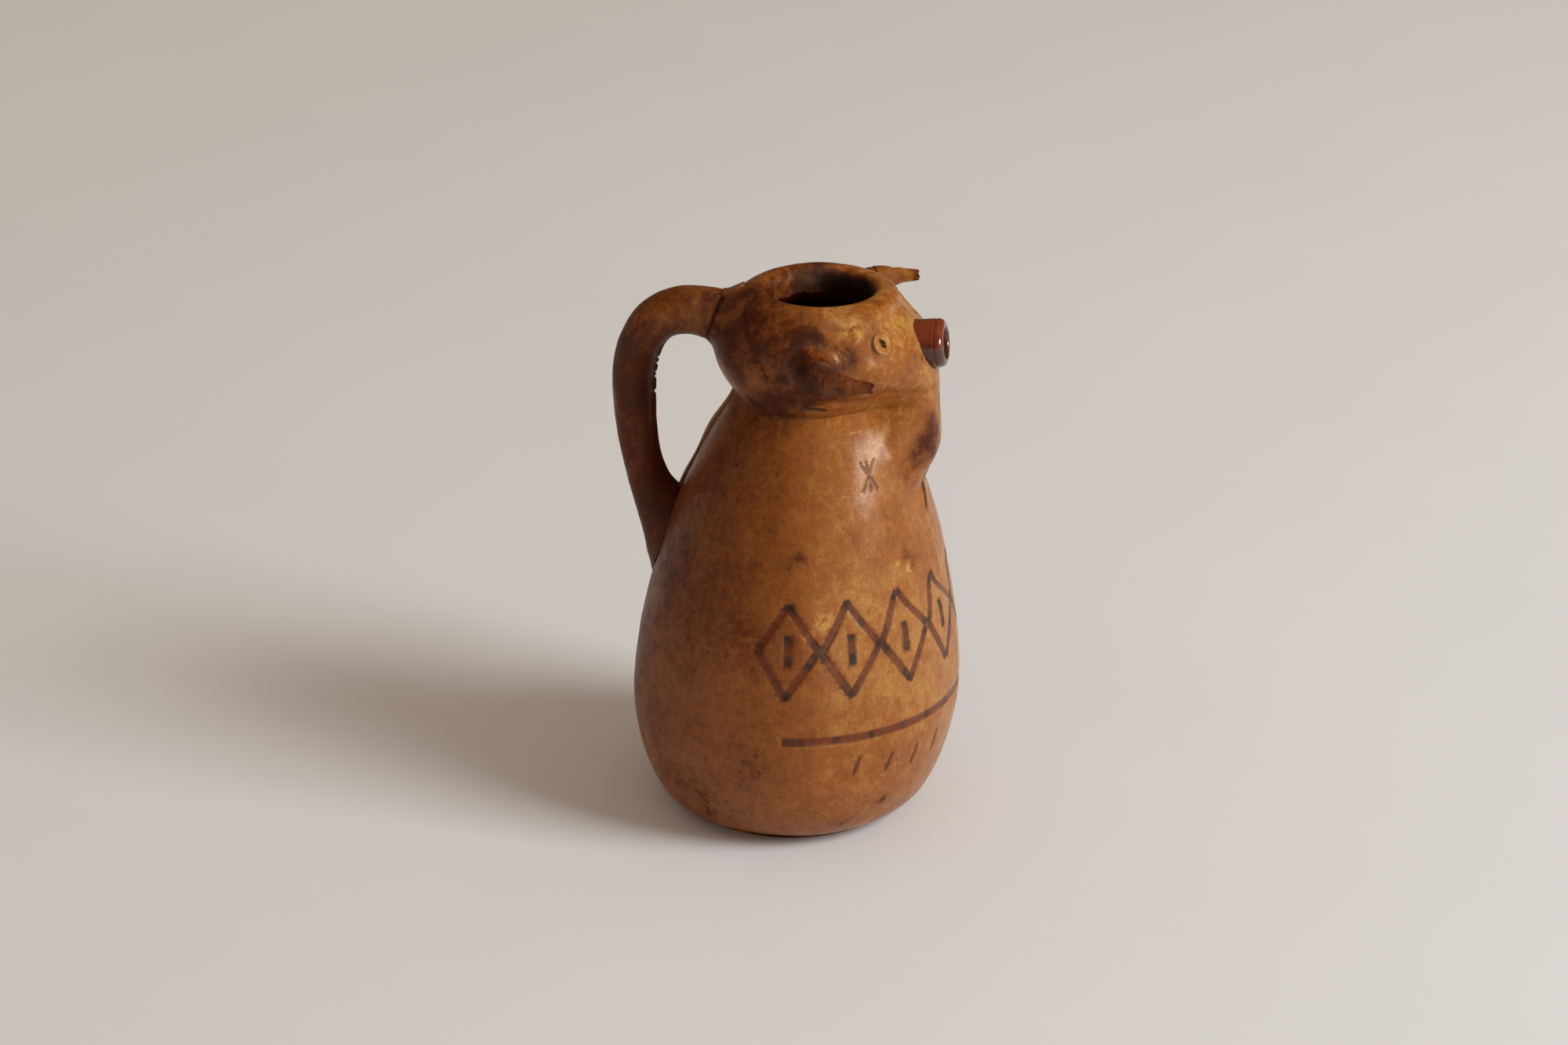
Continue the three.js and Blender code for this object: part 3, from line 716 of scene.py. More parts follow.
def along_line(points):
    """Functions that give the place and the direction at a share of a line's length, also past its ends."""
    run = run_of(points)
    shares = run / run[-1]
    way = np.gradient(points, run, axis=0)

    def direction(share):
        found = at_run(way, shares, np.clip(share, 0, 1))
        return found / np.linalg.norm(found, axis=-1, keepdims=True)

    def place(share):
        inside = np.clip(share, 0, 1)
        past = np.asarray(share - inside) * run[-1]
        return at_run(points, shares, inside) + past[..., None] * direction(inside)

    return place, direction, run[-1]


def wall_middle(z):
    """Middle of the earthenware wall at the back."""
    depth = bpy.context.scene.pitcher_hide.thickness + GLUE + WALL / 2
    return hide_point(math.pi, z) - depth * hide_outward(math.pi, z)


def handle_line():
    top = wall_middle(HANDLE_TOP_Z)
    foot = wall_middle(HANDLE_FOOT_Z)
    grip = np.array([-HANDLE_REACH, 0, GRIP_Z])
    arch_pull = top + [-HANDLE_ARCH_BACK, 0, HANDLE_ARCH_UP]
    foot_pull = foot + [-HANDLE_FOOT_BACK, 0, HANDLE_FOOT_UP]
    upper = cubic(top, arch_pull, grip + HANDLE_GRIP_PULL * UP, grip)
    lower = cubic(grip, grip - HANDLE_DROP_PULL * UP, foot_pull, foot)
    return along_line(np.vstack([upper, lower[1:]]))


def handle_radius(share):
    share = np.clip(share, 0, 1)
    top = np.maximum(0, 1 - share / HANDLE_TAPER) ** 2
    foot = np.maximum(0, 1 - (1 - share) / HANDLE_TAPER) ** 2
    grip = HANDLE_R + (HANDLE_LOW_R - HANDLE_R) * smooth(share, *HANDLE_THIN)
    return grip + (HANDLE_ROOT_R - HANDLE_R) * top + (HANDLE_FOOT_R - HANDLE_LOW_R) * foot


def collar_rise(points):
    """How the head's hide is drawn out along the handle round its upper root, as a move of each point."""
    place, direction, whole = handle_line()
    base, way = place(0), direction(0)
    sunk = -above_hide(base[None])[0]
    drawn = place((sunk + COLLAR_RISE) / whole) - place(sunk / whole)
    away = points - base
    along = away @ way
    radius = np.linalg.norm(away - along[:, None] * way, axis=1)
    share = np.clip((COLLAR_R - radius) / (COLLAR_R - COLLAR_TOP_R), 0, 1) * (np.abs(along) < COLLAR_R)
    return (1 - np.sqrt(1 - share**2))[:, None] * drawn


def horn_line(side):
    root = hide_point(HORN_ANGLE, HORN_Z, side)
    out = root + [0, side * HORN_SPREAD, 0]
    rise = HORN_RISE[side]
    return along_line(
        cubic(
            root - [0, side * HORN_ROOT_R, 0],
            out + [0, 0, rise / 2],
            out + [HORN_REACH / 2, 0, rise],
            out + [HORN_REACH, 0, rise],
        )
    )


def horn_radius(share):
    return HORN_TIP_R + (HORN_ROOT_R - HORN_TIP_R) * np.maximum(0, 1 - share) ** HORN_EASE


def horn_crest(share, side, spoke):
    """How much thicker a hand-shaped horn is on its upper side."""
    return HORN_CREST[side] * bell(share - HORN_CREST_AT, HORN_CREST_WIDTH) * np.maximum(0, spoke[:, 2])


def cross_frame(direction, upright):
    """Two directions across a line: one level with the ground plane of upright, one along it."""
    first = np.cross(upright, direction)
    first = first / np.linalg.norm(first, axis=-1, keepdims=True)
    return first, np.cross(direction, first)


# Mesh work


def new_piece(name, mesh, materials, slot, *nodes):
    """A finished piece at the origin that stands for CAD nodes."""
    piece = bpy.data.objects.new(name, mesh)
    bpy.context.scene.collection.objects.link(piece)
    for material in materials:
        mesh.materials.append(material)
    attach(piece, "root")
    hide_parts(*nodes)
    return piece


@contextmanager
def opened(mesh):
    """A mesh as one to model on, written back at the end."""
    bm = bmesh.new()
    bm.from_mesh(mesh)
    yield bm
    bm.to_mesh(mesh)
    bm.free()


def mesh_from(bm, name):
    mesh = bpy.data.meshes.new(name)
    bm.to_mesh(mesh)
    bm.free()
    return mesh


def read_points(mesh):
    points = np.empty(3 * len(mesh.vertices))
    mesh.vertices.foreach_get("co", points)
    return points.reshape(-1, 3)


def read_outward(mesh):
    found = np.empty(3 * len(mesh.vertices))
    mesh.vertex_normals.foreach_get("vector", found)
    return found.reshape(-1, 3)


def write_points(mesh, points):
    mesh.vertices.foreach_set("co", np.ascontiguousarray(points, float).ravel())
    mesh.update()


def read_value(mesh, name):
    values = np.empty(len(mesh.vertices))
    mesh.attributes[name].data.foreach_get("value", values)
    return values


def write_value(mesh, name, values):
    found = mesh.attributes.get(name) or mesh.attributes.new(name, "FLOAT", "POINT")
    found.data.foreach_set("value", np.asarray(values, np.float32))


def shade(mesh, degrees=50):
    mesh.shade_smooth()
    mesh.set_sharp_from_angle(angle=math.radians(degrees))


def spun(profile, steps, angle=TAU):
    """A shape turned about the Z axis from radius and level points."""
    bm = bmesh.new()
    verts = [bm.verts.new((r, 0, z)) for r, z in profile]
    edges = [bm.edges.new(pair) for pair in zip(verts, verts[1:])]
    full = angle == TAU
    bmesh.ops.spin(
        bm, geom=verts + edges, cent=(0, 0, 0), axis=(0, 0, 1), angle=angle, steps=steps, use_merge=full
    )
    if full:
        bmesh.ops.remove_doubles(bm, verts=bm.verts, dist=SAME_PLACE)
        bmesh.ops.recalc_face_normals(bm, faces=bm.faces)
    return bm


def grid_mesh(name, along, across, shape):
    """A sheet of faces whose corners are placed by a function of the shares along and across it."""
    bm = bmesh.new()
    bmesh.ops.create_grid(bm, x_segments=along, y_segments=across, size=0.5)
    mesh = mesh_from(bm, name)
    shares = read_points(mesh) + 0.5
    write_points(mesh, shape(shares[:, 0], shares[:, 1]))
    return mesh


def standing(bm, foot, direction, upwards=(0, 0, 1)):
    """Turns a shape made about the Z axis so that it stands on a point and points along a direction."""
    z = Vector(direction).normalized()
    x = Vector(upwards).cross(z).normalized()
    turn = Matrix((x, z.cross(x), z)).transposed().to_4x4()
    bmesh.ops.transform(bm, matrix=Matrix.Translation(Vector(foot)) @ turn, verts=bm.verts)


def applied(mesh, kind, **settings):
    """What a modifier makes of a mesh."""
    worker = bpy.data.objects.new("worker", mesh)
    bpy.context.scene.collection.objects.link(worker)
    modifier = worker.modifiers.new(kind.title(), kind)
    for name, value in settings.items():
        setattr(modifier, name, value)
    made = bpy.data.meshes.new_from_object(worker.evaluated_get(bpy.context.evaluated_depsgraph_get()))
    bpy.data.objects.remove(worker)
    return made


def thickened(sheet, thickness):
    """The sheet with a wall behind it and its second material on the rim. The sheet's corners come first."""
    return applied(
        sheet, "SOLIDIFY", thickness=thickness, offset=-1, use_rim=True, material_offset_rim=1
    )


def face_outwards(bm, outward_of):
    """Turns an open sheet's faces to the side that outward_of gives."""
    bmesh.ops.recalc_face_normals(bm, faces=bm.faces)
    bm.normal_update()
    if sum(face.normal.dot(outward_of(face.calc_center_median())) for face in bm.faces) < 0:
        bmesh.ops.reverse_faces(bm, faces=bm.faces)


def turn_sheet(mesh, outward_of):
    """The same for a finished mesh."""
    with opened(mesh) as bm:
        face_outwards(bm, outward_of)


def split_faces(bm, faces, cuts):
    """Splits faces of a bmesh into smaller ones."""
    edges = list({edge for face in faces for edge in face.edges})
    bmesh.ops.subdivide_edges(bm, edges=edges, cuts=cuts, use_grid_fill=True)


def open_hole(bm, centre, direction, radius, reach):
    """Takes a round hole out of a sheet, draws the edge to the hole's wall and evens it along the hole."""
    centre = Vector(centre)
    direction = Vector(direction).normalized()
    catch, passes, easing = 1.2 * MM, 8, 0.6

    def from_axis(place):
        away = place - centre
        return away - away.dot(direction) * direction

    def near(place):
        return (place - centre).length < reach

    def on_wall(vert):
        return abs(from_axis(vert.co).length - radius) < SAME_PLACE

    middles = {face: face.calc_center_median() for face in bm.faces}
    inside = [face for face, spot in middles.items() if near(spot) and from_axis(spot).length < radius]
    bmesh.ops.delete(bm, geom=inside, context="FACES")
    rim = [vert for vert in bm.verts if vert.is_boundary and near(vert.co)]
    rim = [vert for vert in rim if from_axis(vert.co).length < radius + catch]
    for vert in rim:
        away = from_axis(vert.co)
        vert.co += away * (radius / away.length - 1)
    for vert in rim * passes:
        beside = [edge.other_vert(vert) for edge in vert.link_edges if edge.is_boundary]
        if len(beside) == 2 and all(on_wall(other) for other in beside):
            stray = (beside[0].co + beside[1].co) / 2 - vert.co
            vert.co += easing * stray.dot(direction) * direction


# Covers


def column_angle(share):
    """Angle of a column of faces. They lie closer at the front and beside both seams."""
    beside_seams = SEAM_CLOSENESS * np.sin(TAU * share) / 2
    return math.pi * share - beside_seams - FRONT_CLOSENESS * np.sin(math.pi * share)


def row_runs(count):
    """Lengths along the outline of the rows of faces. They lie closer on the neck and head."""
    middle = (OUTLINE_RUN[1:] + OUTLINE_RUN[:-1]) / 2
    level = at_run(OUTLINE, OUTLINE_RUN, middle)[:, 1]
    closeness = 1 + HEAD_CLOSENESS * smooth(level, *HEAD_STARTS)
    weight = np.concatenate([[0], np.cumsum(np.diff(OUTLINE_RUN) * closeness)])
    return np.interp(np.linspace(0, weight[-1], count + 1), weight, OUTLINE_RUN)


def seam_shift(angle, run, side, hide):
    """How far a half's columns move back from its two seams, as an angle.

    The right half gapes under the dewlap, and below that its edge lies further back."""
    r, z = np.moveaxis(at_run(OUTLINE, OUTLINE_RUN, run), -1, 0)
    share = angle / math.pi
    slit = np.maximum(0, 1 - ((z - SLIT_Z) / SLIT_HALF) ** 2) * (run < LIP_RUN) * (side == RIGHT)
    wander = between(z, *WANDER_LEVELS) * (run < LIP_RUN)
    front_gap = hide.seam / 2 * (1 - SEAM_CLOSING * smooth(z, *FRONT_CLOSED))
    back_gap = hide.seam / 2 * (1 - SEAM_CLOSING * smooth(z, *BACK_CLOSED))
    front = (front_gap + hide.gape * slit - side * SEAM_WANDER * wander) / r
    return front * (1 - share) ** 5 - back_gap / r * share**3


class HornDraw:
    """Draws a round patch of the hide out into the root of a horn."""

    def __init__(self, side):
        self.side = side
        self.place, self.direction, self.whole = horn_line(side)
        shares = np.linspace(0, 1, 200)
        self.start = shares[np.argmax(above_hide(self.place(shares)) > 0)]
        foot = self.start + HORN_FILLET_UP / self.whole
        self.patch_r = horn_radius(foot) + HORN_FILLET_OUT
        bend = np.linspace(0, math.pi / 2, 24)
        fillet_r = horn_radius(foot) + HORN_FILLET_OUT * (1 - np.sin(bend))
        fillet = np.stack([fillet_r, HORN_FILLET_UP * (1 - np.cos(bend))], axis=-1)
        ends = np.linspace(foot, HORN_JOINT, 30)[1:]
        shaft = np.stack([horn_radius(ends), (ends - self.start) * self.whole], axis=-1)
        cap = np.array([[SAME_PLACE, shaft[-1, 1]]])
        self.line = np.vstack([fillet, shaft, cap])
        self.run = run_of(self.line)
        self.root_run = run_at(HORN_Z)

    def patch(self, angle, run):
        """Place in the patch, as the share of its radius and the angle round its middle."""
        forward = (HORN_ANGLE - angle) * HEAD_R
        upward = run - self.root_run
        return np.hypot(forward, upward) / self.patch_r, np.arctan2(upward, forward)

    def ring(self, radius, height, turn):
        """Points round the horn, at a radius and a height above the hide."""
        share = self.start + height / self.whole
        across, up = cross_frame(self.direction(share), UP)
        forward = -self.side * across
        spoke = np.cos(turn)[:, None] * forward + np.sin(turn)[:, None] * up
        return self.place(share) + (radius + horn_crest(share, self.side, spoke))[:, None] * spoke

    def drawn(self, points, angle, run):
        """The cover's points, with those of the patch moved out to the horn."""
        share, turn = self.patch(angle, run)
        inside = (share < 1) & (run < LIP_RUN)
        turn = turn[inside]
        radius, height = np.moveaxis(at_run(self.line, self.run, (1 - share[inside]) * self.run[-1]), -1, 0)
        edge_angle = HORN_ANGLE - np.cos(turn) * self.patch_r / HEAD_R
        edge = sheet_point(edge_angle, self.root_run + np.sin(turn) * self.patch_r, self.side)
        flat = self.ring(np.full(len(turn), self.patch_r), np.zeros(len(turn)), turn)
        settle = np.exp(-height / HORN_SETTLE)[:, None]
        points[inside] = self.ring(radius, height, turn) + (edge - flat) * settle
        return points


def cover_sheet(side, hide):
    """The outer face of one half, leaning and swelling, with its holes and the root of its horn."""
    runs = row_runs(hide.rows)
    bm = spun(at_run(OUTLINE, OUTLINE_RUN, runs), hide.columns, math.pi)
    angle_of = bm.verts.layers.float.new("angle")
    run_of_vert = bm.verts.layers.float.new("run")
    bm.verts.ensure_lookup_table()
    turns = np.arctan2([abs(v.co.y) for v in bm.verts], [v.co.x for v in bm.verts])
    for index, vert in enumerate(bm.verts):
        vert[angle_of] = column_angle(turns[index] / math.pi)
        vert[run_of_vert] = runs[index % len(runs)]
    horn = HornDraw(side)
    patch = []
    for face in bm.faces:
        angle = np.array([v[angle_of] for v in face.verts])
        run = np.array([v[run_of_vert] for v in face.verts])
        if horn.patch(angle, run)[0].max() < 1 and run.max() < LIP_RUN:
            patch.append(face)
    split_faces(bm, patch, 1)
    mesh = mesh_from(bm, f"{SIDE_NAMES[side]}_cover")
    angle, run = read_value(mesh, "angle"), read_value(mesh, "run")
    points = sheet_point(angle + seam_shift(angle, run, side, hide), run, side)
    ragged = RAGGED_HEIGHT * smooth(run, OUTLINE_RUN[-1] - RAGGED_DEPTH, OUTLINE_RUN[-1])
    points[:, 2] += sum(share * uneven(points, scale, seed) for share, scale, seed in RAGGED_LAYERS) * ragged
    write_points(mesh, horn.drawn(points, angle, run))

    spout_foot, spout_axis, _ = spout_seat()
    place, direction, _ = handle_line()
    with opened(mesh) as bm:
        face_outwards(bm, lambda spot: Vector((spot.x - centre_x(spot.z), spot.y, 0)))
        open_hole(bm, spout_foot, spout_axis, SPOUT_R + GLUE, SPOUT_HOLE_REACH)
        open_hole(bm, *eye_seat(side), EYE_R + GLUE, EYE_HOLE_REACH)
        for share, radius in ((0, HANDLE_ROOT_R), (1, HANDLE_FOOT_R)):
            open_hole(bm, place(share), direction(share), radius - SLEEVE, HANDLE_HOLE_REACH)
        loose = [vert for vert in bm.verts if not vert.link_faces]
        bmesh.ops.delete(bm, geom=loose, context="VERTS")
    return mesh


class Stroke:
    """A straight mark on the hide. Its ends lie across and up from a place given as angle and level."""

    def __init__(self, angle, level, start, end, width, kind="burnt"):
        self.angle, self.level, self.width, self.kind = angle, level, width, kind
        self.start, self.end = np.array(start, float), np.array(end, float)

    def measure(self, angle, run):
        """How far each point lies off the mark's middle line, along it and past its ends, and its length."""
        radius = hide_radius(self.level)
        flat = np.stack([(angle - self.angle) * radius, run - run_at(self.level)], axis=-1)
        way = self.end - self.start
        size = np.linalg.norm(way)
        way = way / size
        along = (flat - self.start) @ way
        off = np.abs((flat - self.start) @ np.array([-way[1], way[0]]))
        return off, along, np.maximum(-along, along - size), size


def ornament(side, hide):
    """The marks on one half. The angle grows away from the front seam on both halves."""
    rng = np.random.default_rng(HAND_SEEDS[side])
    marks = []

    def shake():
        return rng.uniform(-HAND_SHAKE, HAND_SHAKE, 2)

    wide, high = LOZENGE_HALF_WIDTH, LOZENGE_HALF_HEIGHT
    tips = [np.array(tip) for tip in ((wide, 0), (0, high), (-wide, 0), (0, -high))]
    bar = np.array([0, BAR_HALF_HEIGHT])
    for motif in range(BAND_MOTIFS):
        angle = (motif + 0.5) * BAND_PITCH
        for tip, after in (*zip(tips, tips[1:] + tips[:1]), (bar, -bar)):
            marks.append(Stroke(angle, BAND_Z, tip + shake(), after + shake(), hide.stroke_width))
    stripe_end = (STRIPE_END * hide_radius(STRIPE_Z), 0)
    marks.append(Stroke(0, STRIPE_Z, (-STRIPE_OVERLAP, 0), stripe_end, STRIPE_BROADER * hide.stroke_width))

    def add_marks(place, kind, width, *halves):
        """Marks through one place, each given by the half of it on one side."""
        for half in halves:
            half = np.array(half)
            marks.append(Stroke(math.radians(place[0]), place[1] * MM, half, -half, width, kind))

    for place in CUT_PLACES:
        add_marks(place, "cut", CUT_WIDTH, (CUT_LEAN / 2, -CUT_LENGTH / 2))
    add_marks(JAW_SLIT_PLACE, "slit", JAW_SLIT_WIDTH, (JAW_SLIT_LENGTH / 2, JAW_SLIT_LEAN))
    if side == RIGHT:
        add_marks(STAR_PLACE, "incised", STAR_WIDTH, *((lean, STAR_HALF_HEIGHT) for lean in STAR_LEANS))
    return marks


def refine_marks(mesh, marks, outer):
    """Splits the outer faces beside the marks' edges into smaller ones."""
    angle, run = read_value(mesh, "angle"), read_value(mesh, "run")
    close = np.zeros(len(angle), bool)
    for mark in marks:
        off, _, past, _ = mark.measure(angle, run)
        close |= (off < mark.width / 2 + MARK_MARGIN) & (past < MARK_END_MARGIN)
    close &= outer & (run < LIP_RUN)
    with opened(mesh) as bm:
        split_faces(bm, [face for face in bm.faces if all(close[v.index] for v in face.verts)], 2)


def stroke_soot(number, off, along, size, half):
    """How sooty a burnt stroke is. The stroke's number sets where its knots lie and how dark they are."""
    ends = bell(along, SOOTY_START) + bell(size - along, SOOTY_STOP)
    knot_place = (4 + 3 * (number % 4)) * MM
    knot_strength = 0.35 + 0.2 * (number % 3)
    knots = bell(np.mod(along, KNOT_PITCH) - knot_place, KNOT_WIDTH) * knot_strength
    rim = smooth(off, half - SOOTY_RIM, half)
    ticks = bell(np.mod(along, TICK_PITCH) - TICK_PLACE, TICK_WIDTH)
    return np.clip(ends + knots + 0.5 * rim + 0.3 * ticks, 0, 1)


def mark_effect(marks, face):
    """Depth pressed in by the marks, and how burnt and how sooty they are; a slit's soot is painted shade."""
    depth, burnt, soot_and_shade = np.zeros((3, len(face.angle)))
    for number, mark in enumerate(marks):
        off, along, past, size = mark.measure(face.angle, face.run)
        half = mark.width / 2
        if mark.kind in ("cut", "slit"):
            half = half * np.sqrt(np.clip(1 - (2 * along / size - 1) ** 2, 0.01, 1))
        within = 1 - smooth(off, half - MARK_SOFT, half + MARK_SOFT)
        inside = within * (1 - smooth(past, -MARK_SOFT, MARK_SOFT)) * face.outer
        if mark.kind == "burnt":
            sunk, black, brown = face.hide.stroke_depth, stroke_soot(number, off, along, size, half), 1
        else:
            sunk, black, brown = MARK_KINDS[mark.kind]
        depth = np.maximum(depth, sunk * inside)
        soot_and_shade = np.maximum(soot_and_shade, black * inside)
        burnt = np.maximum(burnt, brown * inside)
    return depth, burnt, soot_and_shade


class CoverFace:
    """What shaping and staining one half ask about its points."""

    def __init__(self, mesh, side, hide):
        self.side, self.hide = side, hide
        self.points, self.outward = read_points(mesh), read_outward(mesh)
        self.level = self.points[:, 2]
        self.angle, self.run, shown = (read_value(mesh, name) for name in ("angle", "run", "outer"))
        self.shown = shown > 0.5
        self.outer = np.clip(shown, 0, 1) * (self.run < LIP_RUN + 4 * MM)
        self.base = sheet_point(self.angle, np.minimum(self.run, LIP_RUN), side)
        self.at_front, self.at_back = self.angle < FRONT_UP_TO, self.angle > BACK_FROM
        self.front_curl = between(self.level, *FRONT_CURL_LEVELS) * self.at_front
        self.back_curl = between(self.level, *BACK_CURL_LEVELS) * self.at_back
        radius = np.hypot(self.points[:, 0] - centre_x(self.level), self.points[:, 1])
        self.from_seam = np.minimum(self.angle, math.pi - self.angle) * radius
        self.from_neck = self.run - run_at(NECK_Z)
        self.from_eye = np.linalg.norm(self.base - eye_seat(side)[0], axis=1)
        foot, self.spout_axis, _ = spout_seat()
        self.from_spout = np.linalg.norm(np.cross(self.points - foot, self.spout_axis), axis=1)
        self.on_snout = self.at_front * (self.points[:, 0] > HEAD_R)

    def uneven(self, scale, seed):
        return uneven(self.points, scale, seed)

    def behind_dewlap(self, start, end):
        """0 on the dewlap and 1 behind it, by its half angle times start and end."""
        return smooth(self.angle, start * DEWLAP_HALF_ANGLE, end * DEWLAP_HALF_ANGLE)


def press_folds(face):
    """Lift of the folds with the banks beside them, and how far each point lies in a crease, which gets
    painted shade.
    """
    lift = np.zeros(len(face.points))
    # Painted shade in the crease of the neck
    crease_shade = 0.5 * bell(face.from_neck, 6 * MM) * face.behind_dewlap(1, 2)
    for places, depth, width in FOLDS.values():
        gap, share = off_path(face.base, places_on_hide(places, face.side))
        fade = np.sin(math.pi * np.clip(FOLD_ENDS[0] + FOLD_ENDS[1] * share, 0, 1)) ** FOLD_FADE
        bank = BANK_HEIGHT * bell(gap - BANK_AWAY * width * MM, BANK_WIDTH * width * MM)
        lift += depth * MM * fade * (bank - bell(gap, width * MM))
        crease_shade = np.maximum(crease_shade, fade * bell(gap, 1.1 * width * MM) * min(1, 0.3 + 0.7 * depth))
    return lift, crease_shade


def model_head(face):
    """Lift of the swellings, the eye socket, the filled neck and the hand-made unevenness."""
    lift = np.zeros(len(face.points))
    for place, height, radius in SWELLINGS.values():
        lift += height * MM * bell(from_place(face.base, place, face.side), radius * MM)
    behind_eye = smooth(face.angle, EYE_ANGLE, EYE_ANGLE + math.radians(12))
    for (radius, width), height in ((SOCKET_RING, -SOCKET_DEPTH), (BROW_RING, BROW_HEIGHT)):
        lift += height * bell(face.from_eye - radius, width) * behind_eye
    lift += NECK_FILL * bell(face.from_neck, 5 * MM) * face.behind_dewlap(1, 3)
    for share, scale, seed in UNEVEN_LAYERS:
        lift += share * face.hide.unevenness * face.uneven(scale, seed)
    return lift


def curl_seams(face, edge):
    """Lift beside the seams, whose cut edges are rounded and here and there curl up."""
    curl = bell(face.from_seam, CURL_WIDTH) * (0.7 + 0.3 * face.uneven(60, 17))
    front, back = CURL_HEIGHTS[face.side]
    lift = curl * (front * face.front_curl + back * face.back_curl) - 0.6 * face.hide.edge * edge
    if face.side == LEFT:
        level = bell(face.level - SLIT_Z - 2 * MM, 0.8 * SLIT_HALF)
        lift += SLIT_LIP * level * bell(face.from_seam, SLIT_LIP_WIDTH) * face.at_front
    return lift


def stain_cover(face):
    """How stained, how tanned and how rubbed each point is, with painted shade and painted highlight added
    in.
    """
    crooked = face.base.copy()
    for axis in range(3):
        for reach, scale, seed in STAIN_WANDER:
            crooked[:, axis] += reach * face.uneven(scale, seed + axis)
    # Darker towards the back: partly tan, partly painted shade on the side away from the light
    tan = TAN_AND_SHADE_RISE * smooth(face.angle, *TAN_AND_SHADE_ANGLES) + TAN_AND_SHADE_FRONT
    stain_and_shade = np.zeros(len(face.points))
    for place, radius, strength in STAINS_AND_SHADE[face.side]:
        kept = 1 - strength * bell(from_place(crooked, place, face.side), radius * MM)
        if radius > BROAD_STAIN:
            tan = 1 - (1 - tan) * kept
        else:
            stain_and_shade = 1 - (1 - stain_and_shade) * kept
    # Painted shade inside the mouth, less on the side that faces the light
    lit = smooth(face.angle, *MOUTH_LIT_ANGLES)
    past_lip = face.run - LIP_RUN
    stain_and_shade = np.maximum(stain_and_shade, (MOUTH_PAINTED_SHADE[0] - MOUTH_PAINTED_SHADE[1] * lit) * smooth(past_lip, *mm(-1, 8)))
    tan = np.maximum(tan, (MOUTH_PAINTED_SHADE_TAN[0] - MOUTH_PAINTED_SHADE_TAN[1] * lit) * smooth(past_lip, *mm(1, 8)))
    rise = np.linalg.norm(collar_rise(face.base), axis=1)
    stain_and_shade = np.maximum(stain_and_shade, COLLAR_STAIN * smooth(rise, 0.75 * COLLAR_RISE, COLLAR_RISE))
    rubbed_and_highlight = np.zeros(len(face.points))
    for place, radius in SCUFFS_AND_HIGHLIGHTS:
        rubbed_and_highlight = np.maximum(rubbed_and_highlight, bell(from_place(face.base, place, face.side), radius * MM))
    # Faces that are not shown are fully dark: painted shade inside, where they show through the slit
    return np.where(face.shown, stain_and_shade, 1), tan, rubbed_and_highlight if face.side == RIGHT else 0.5 * rubbed_and_highlight


def sculpt_cover(mesh, side, hide, marks):
    """Presses folds, swellings and marks into the hide, and notes where it is dark, pale or dull, painted
    shade included.
    """
    face = CoverFace(mesh, side, hide)
    lift, crease_shade = press_folds(face)
    lift += model_head(face)
    lift *= smooth(HornDraw(side).patch(face.angle, face.run)[0], 0.35, 0.8)
    lift *= 1 - smooth(face.run, LIP_RUN - 6 * MM, LIP_RUN + 4 * MM)
    closed = smooth(face.level, *FRONT_CLOSED) * face.at_front
    closed = closed + smooth(face.level, *BACK_CLOSED) * face.at_back
    edge = np.clip(1 - face.from_seam / (1.6 * hide.edge), 0, 1) ** 2 * (1 - closed)
    pressed, burnt, soot_and_shade = mark_effect(marks, face)
    lift += curl_seams(face, edge) - pressed
    along_spout = (1 - smooth(face.from_spout, SPOUT_R + 1 * MM, SPOUT_R + 4 * MM)) * face.on_snout
    outward = face.outward + (face.spout_axis - face.outward) * along_spout[:, None]
    moved = outward * lift[:, None] + collar_rise(face.points)
    write_points(mesh, face.points + moved * face.outer[:, None])

    # In the slit: painted shade along the seam, and no pale edge
    in_slit = 1 - smooth(np.abs(face.level - SLIT_Z), SLIT_HALF - SLIT_FADE, SLIT_HALF)
    pale = face.front_curl * (side == RIGHT) * (1.2 + face.uneven(110, 71))
    pale = pale * bell(face.from_seam, PALE_EDGE_WIDTH)
    at_spout = bell(face.from_spout - SPOUT_R - 0.5 * MM, 0.6 * MM) * face.on_snout
    under_jaw = between(face.run, *map(run_at, DULL_JAW_LEVELS)) * face.behind_dewlap(0.5, 1)
    dull = np.maximum(DULL_JAW * under_jaw, DULL_EYE * bell(face.from_eye, DULL_EYE_R))
    stain_and_shade, tan, rubbed_and_highlight = stain_cover(face)
    notes = {
        "stain_and_shade": stain_and_shade,
        "tan": tan,
        "crease_shade": crease_shade * face.outer,
        "matte": np.maximum(crease_shade, dull),
        "rubbed_and_highlight": rubbed_and_highlight,
        "burnt": burnt,
        "soot_and_shade": np.maximum(soot_and_shade, bell(face.from_seam, 0.8 * MM) * in_slit * face.at_front),
        "edge": np.maximum(np.maximum(edge, 1.5 * pale) * (1 - in_slit), 1.5 * at_spout) * face.outer,
    }
    for name, values in notes.items():
        write_value(mesh, name, values)


def make_cover(side):
    hide = bpy.context.scene.pitcher_hide
    sheet = cover_sheet(side, hide)
    count = len(sheet.vertices)
    mesh = thickened(sheet, hide.thickness)
    mesh.name = f"{SIDE_NAMES[side]}_cover_mesh"
    # The rim in the slit takes the hide's finish, so that it carries painted shade
    for face in mesh.polygons:
        if abs(face.center.z - SLIT_Z) < SLIT_HALF and face.center.x > 0:
            face.material_index = 0
    outer = np.arange(len(mesh.vertices)) < count
    write_value(mesh, "outer", outer)
    marks = ornament(side, hide)
    refine_marks(mesh, marks, outer)
    sculpt_cover(mesh, side, hide, marks)
    shade(mesh, 60)
    node = f"{SIDE_NAMES[side]}_cover"
    finishes = [body_hide_finish(), cut_edge_finish()]
    return new_piece(f"{node}_hide", mesh, finishes, "body_hide", node, f"{SIDE_NAMES[side]}_mouth_edge")


# Horn tips and eyes


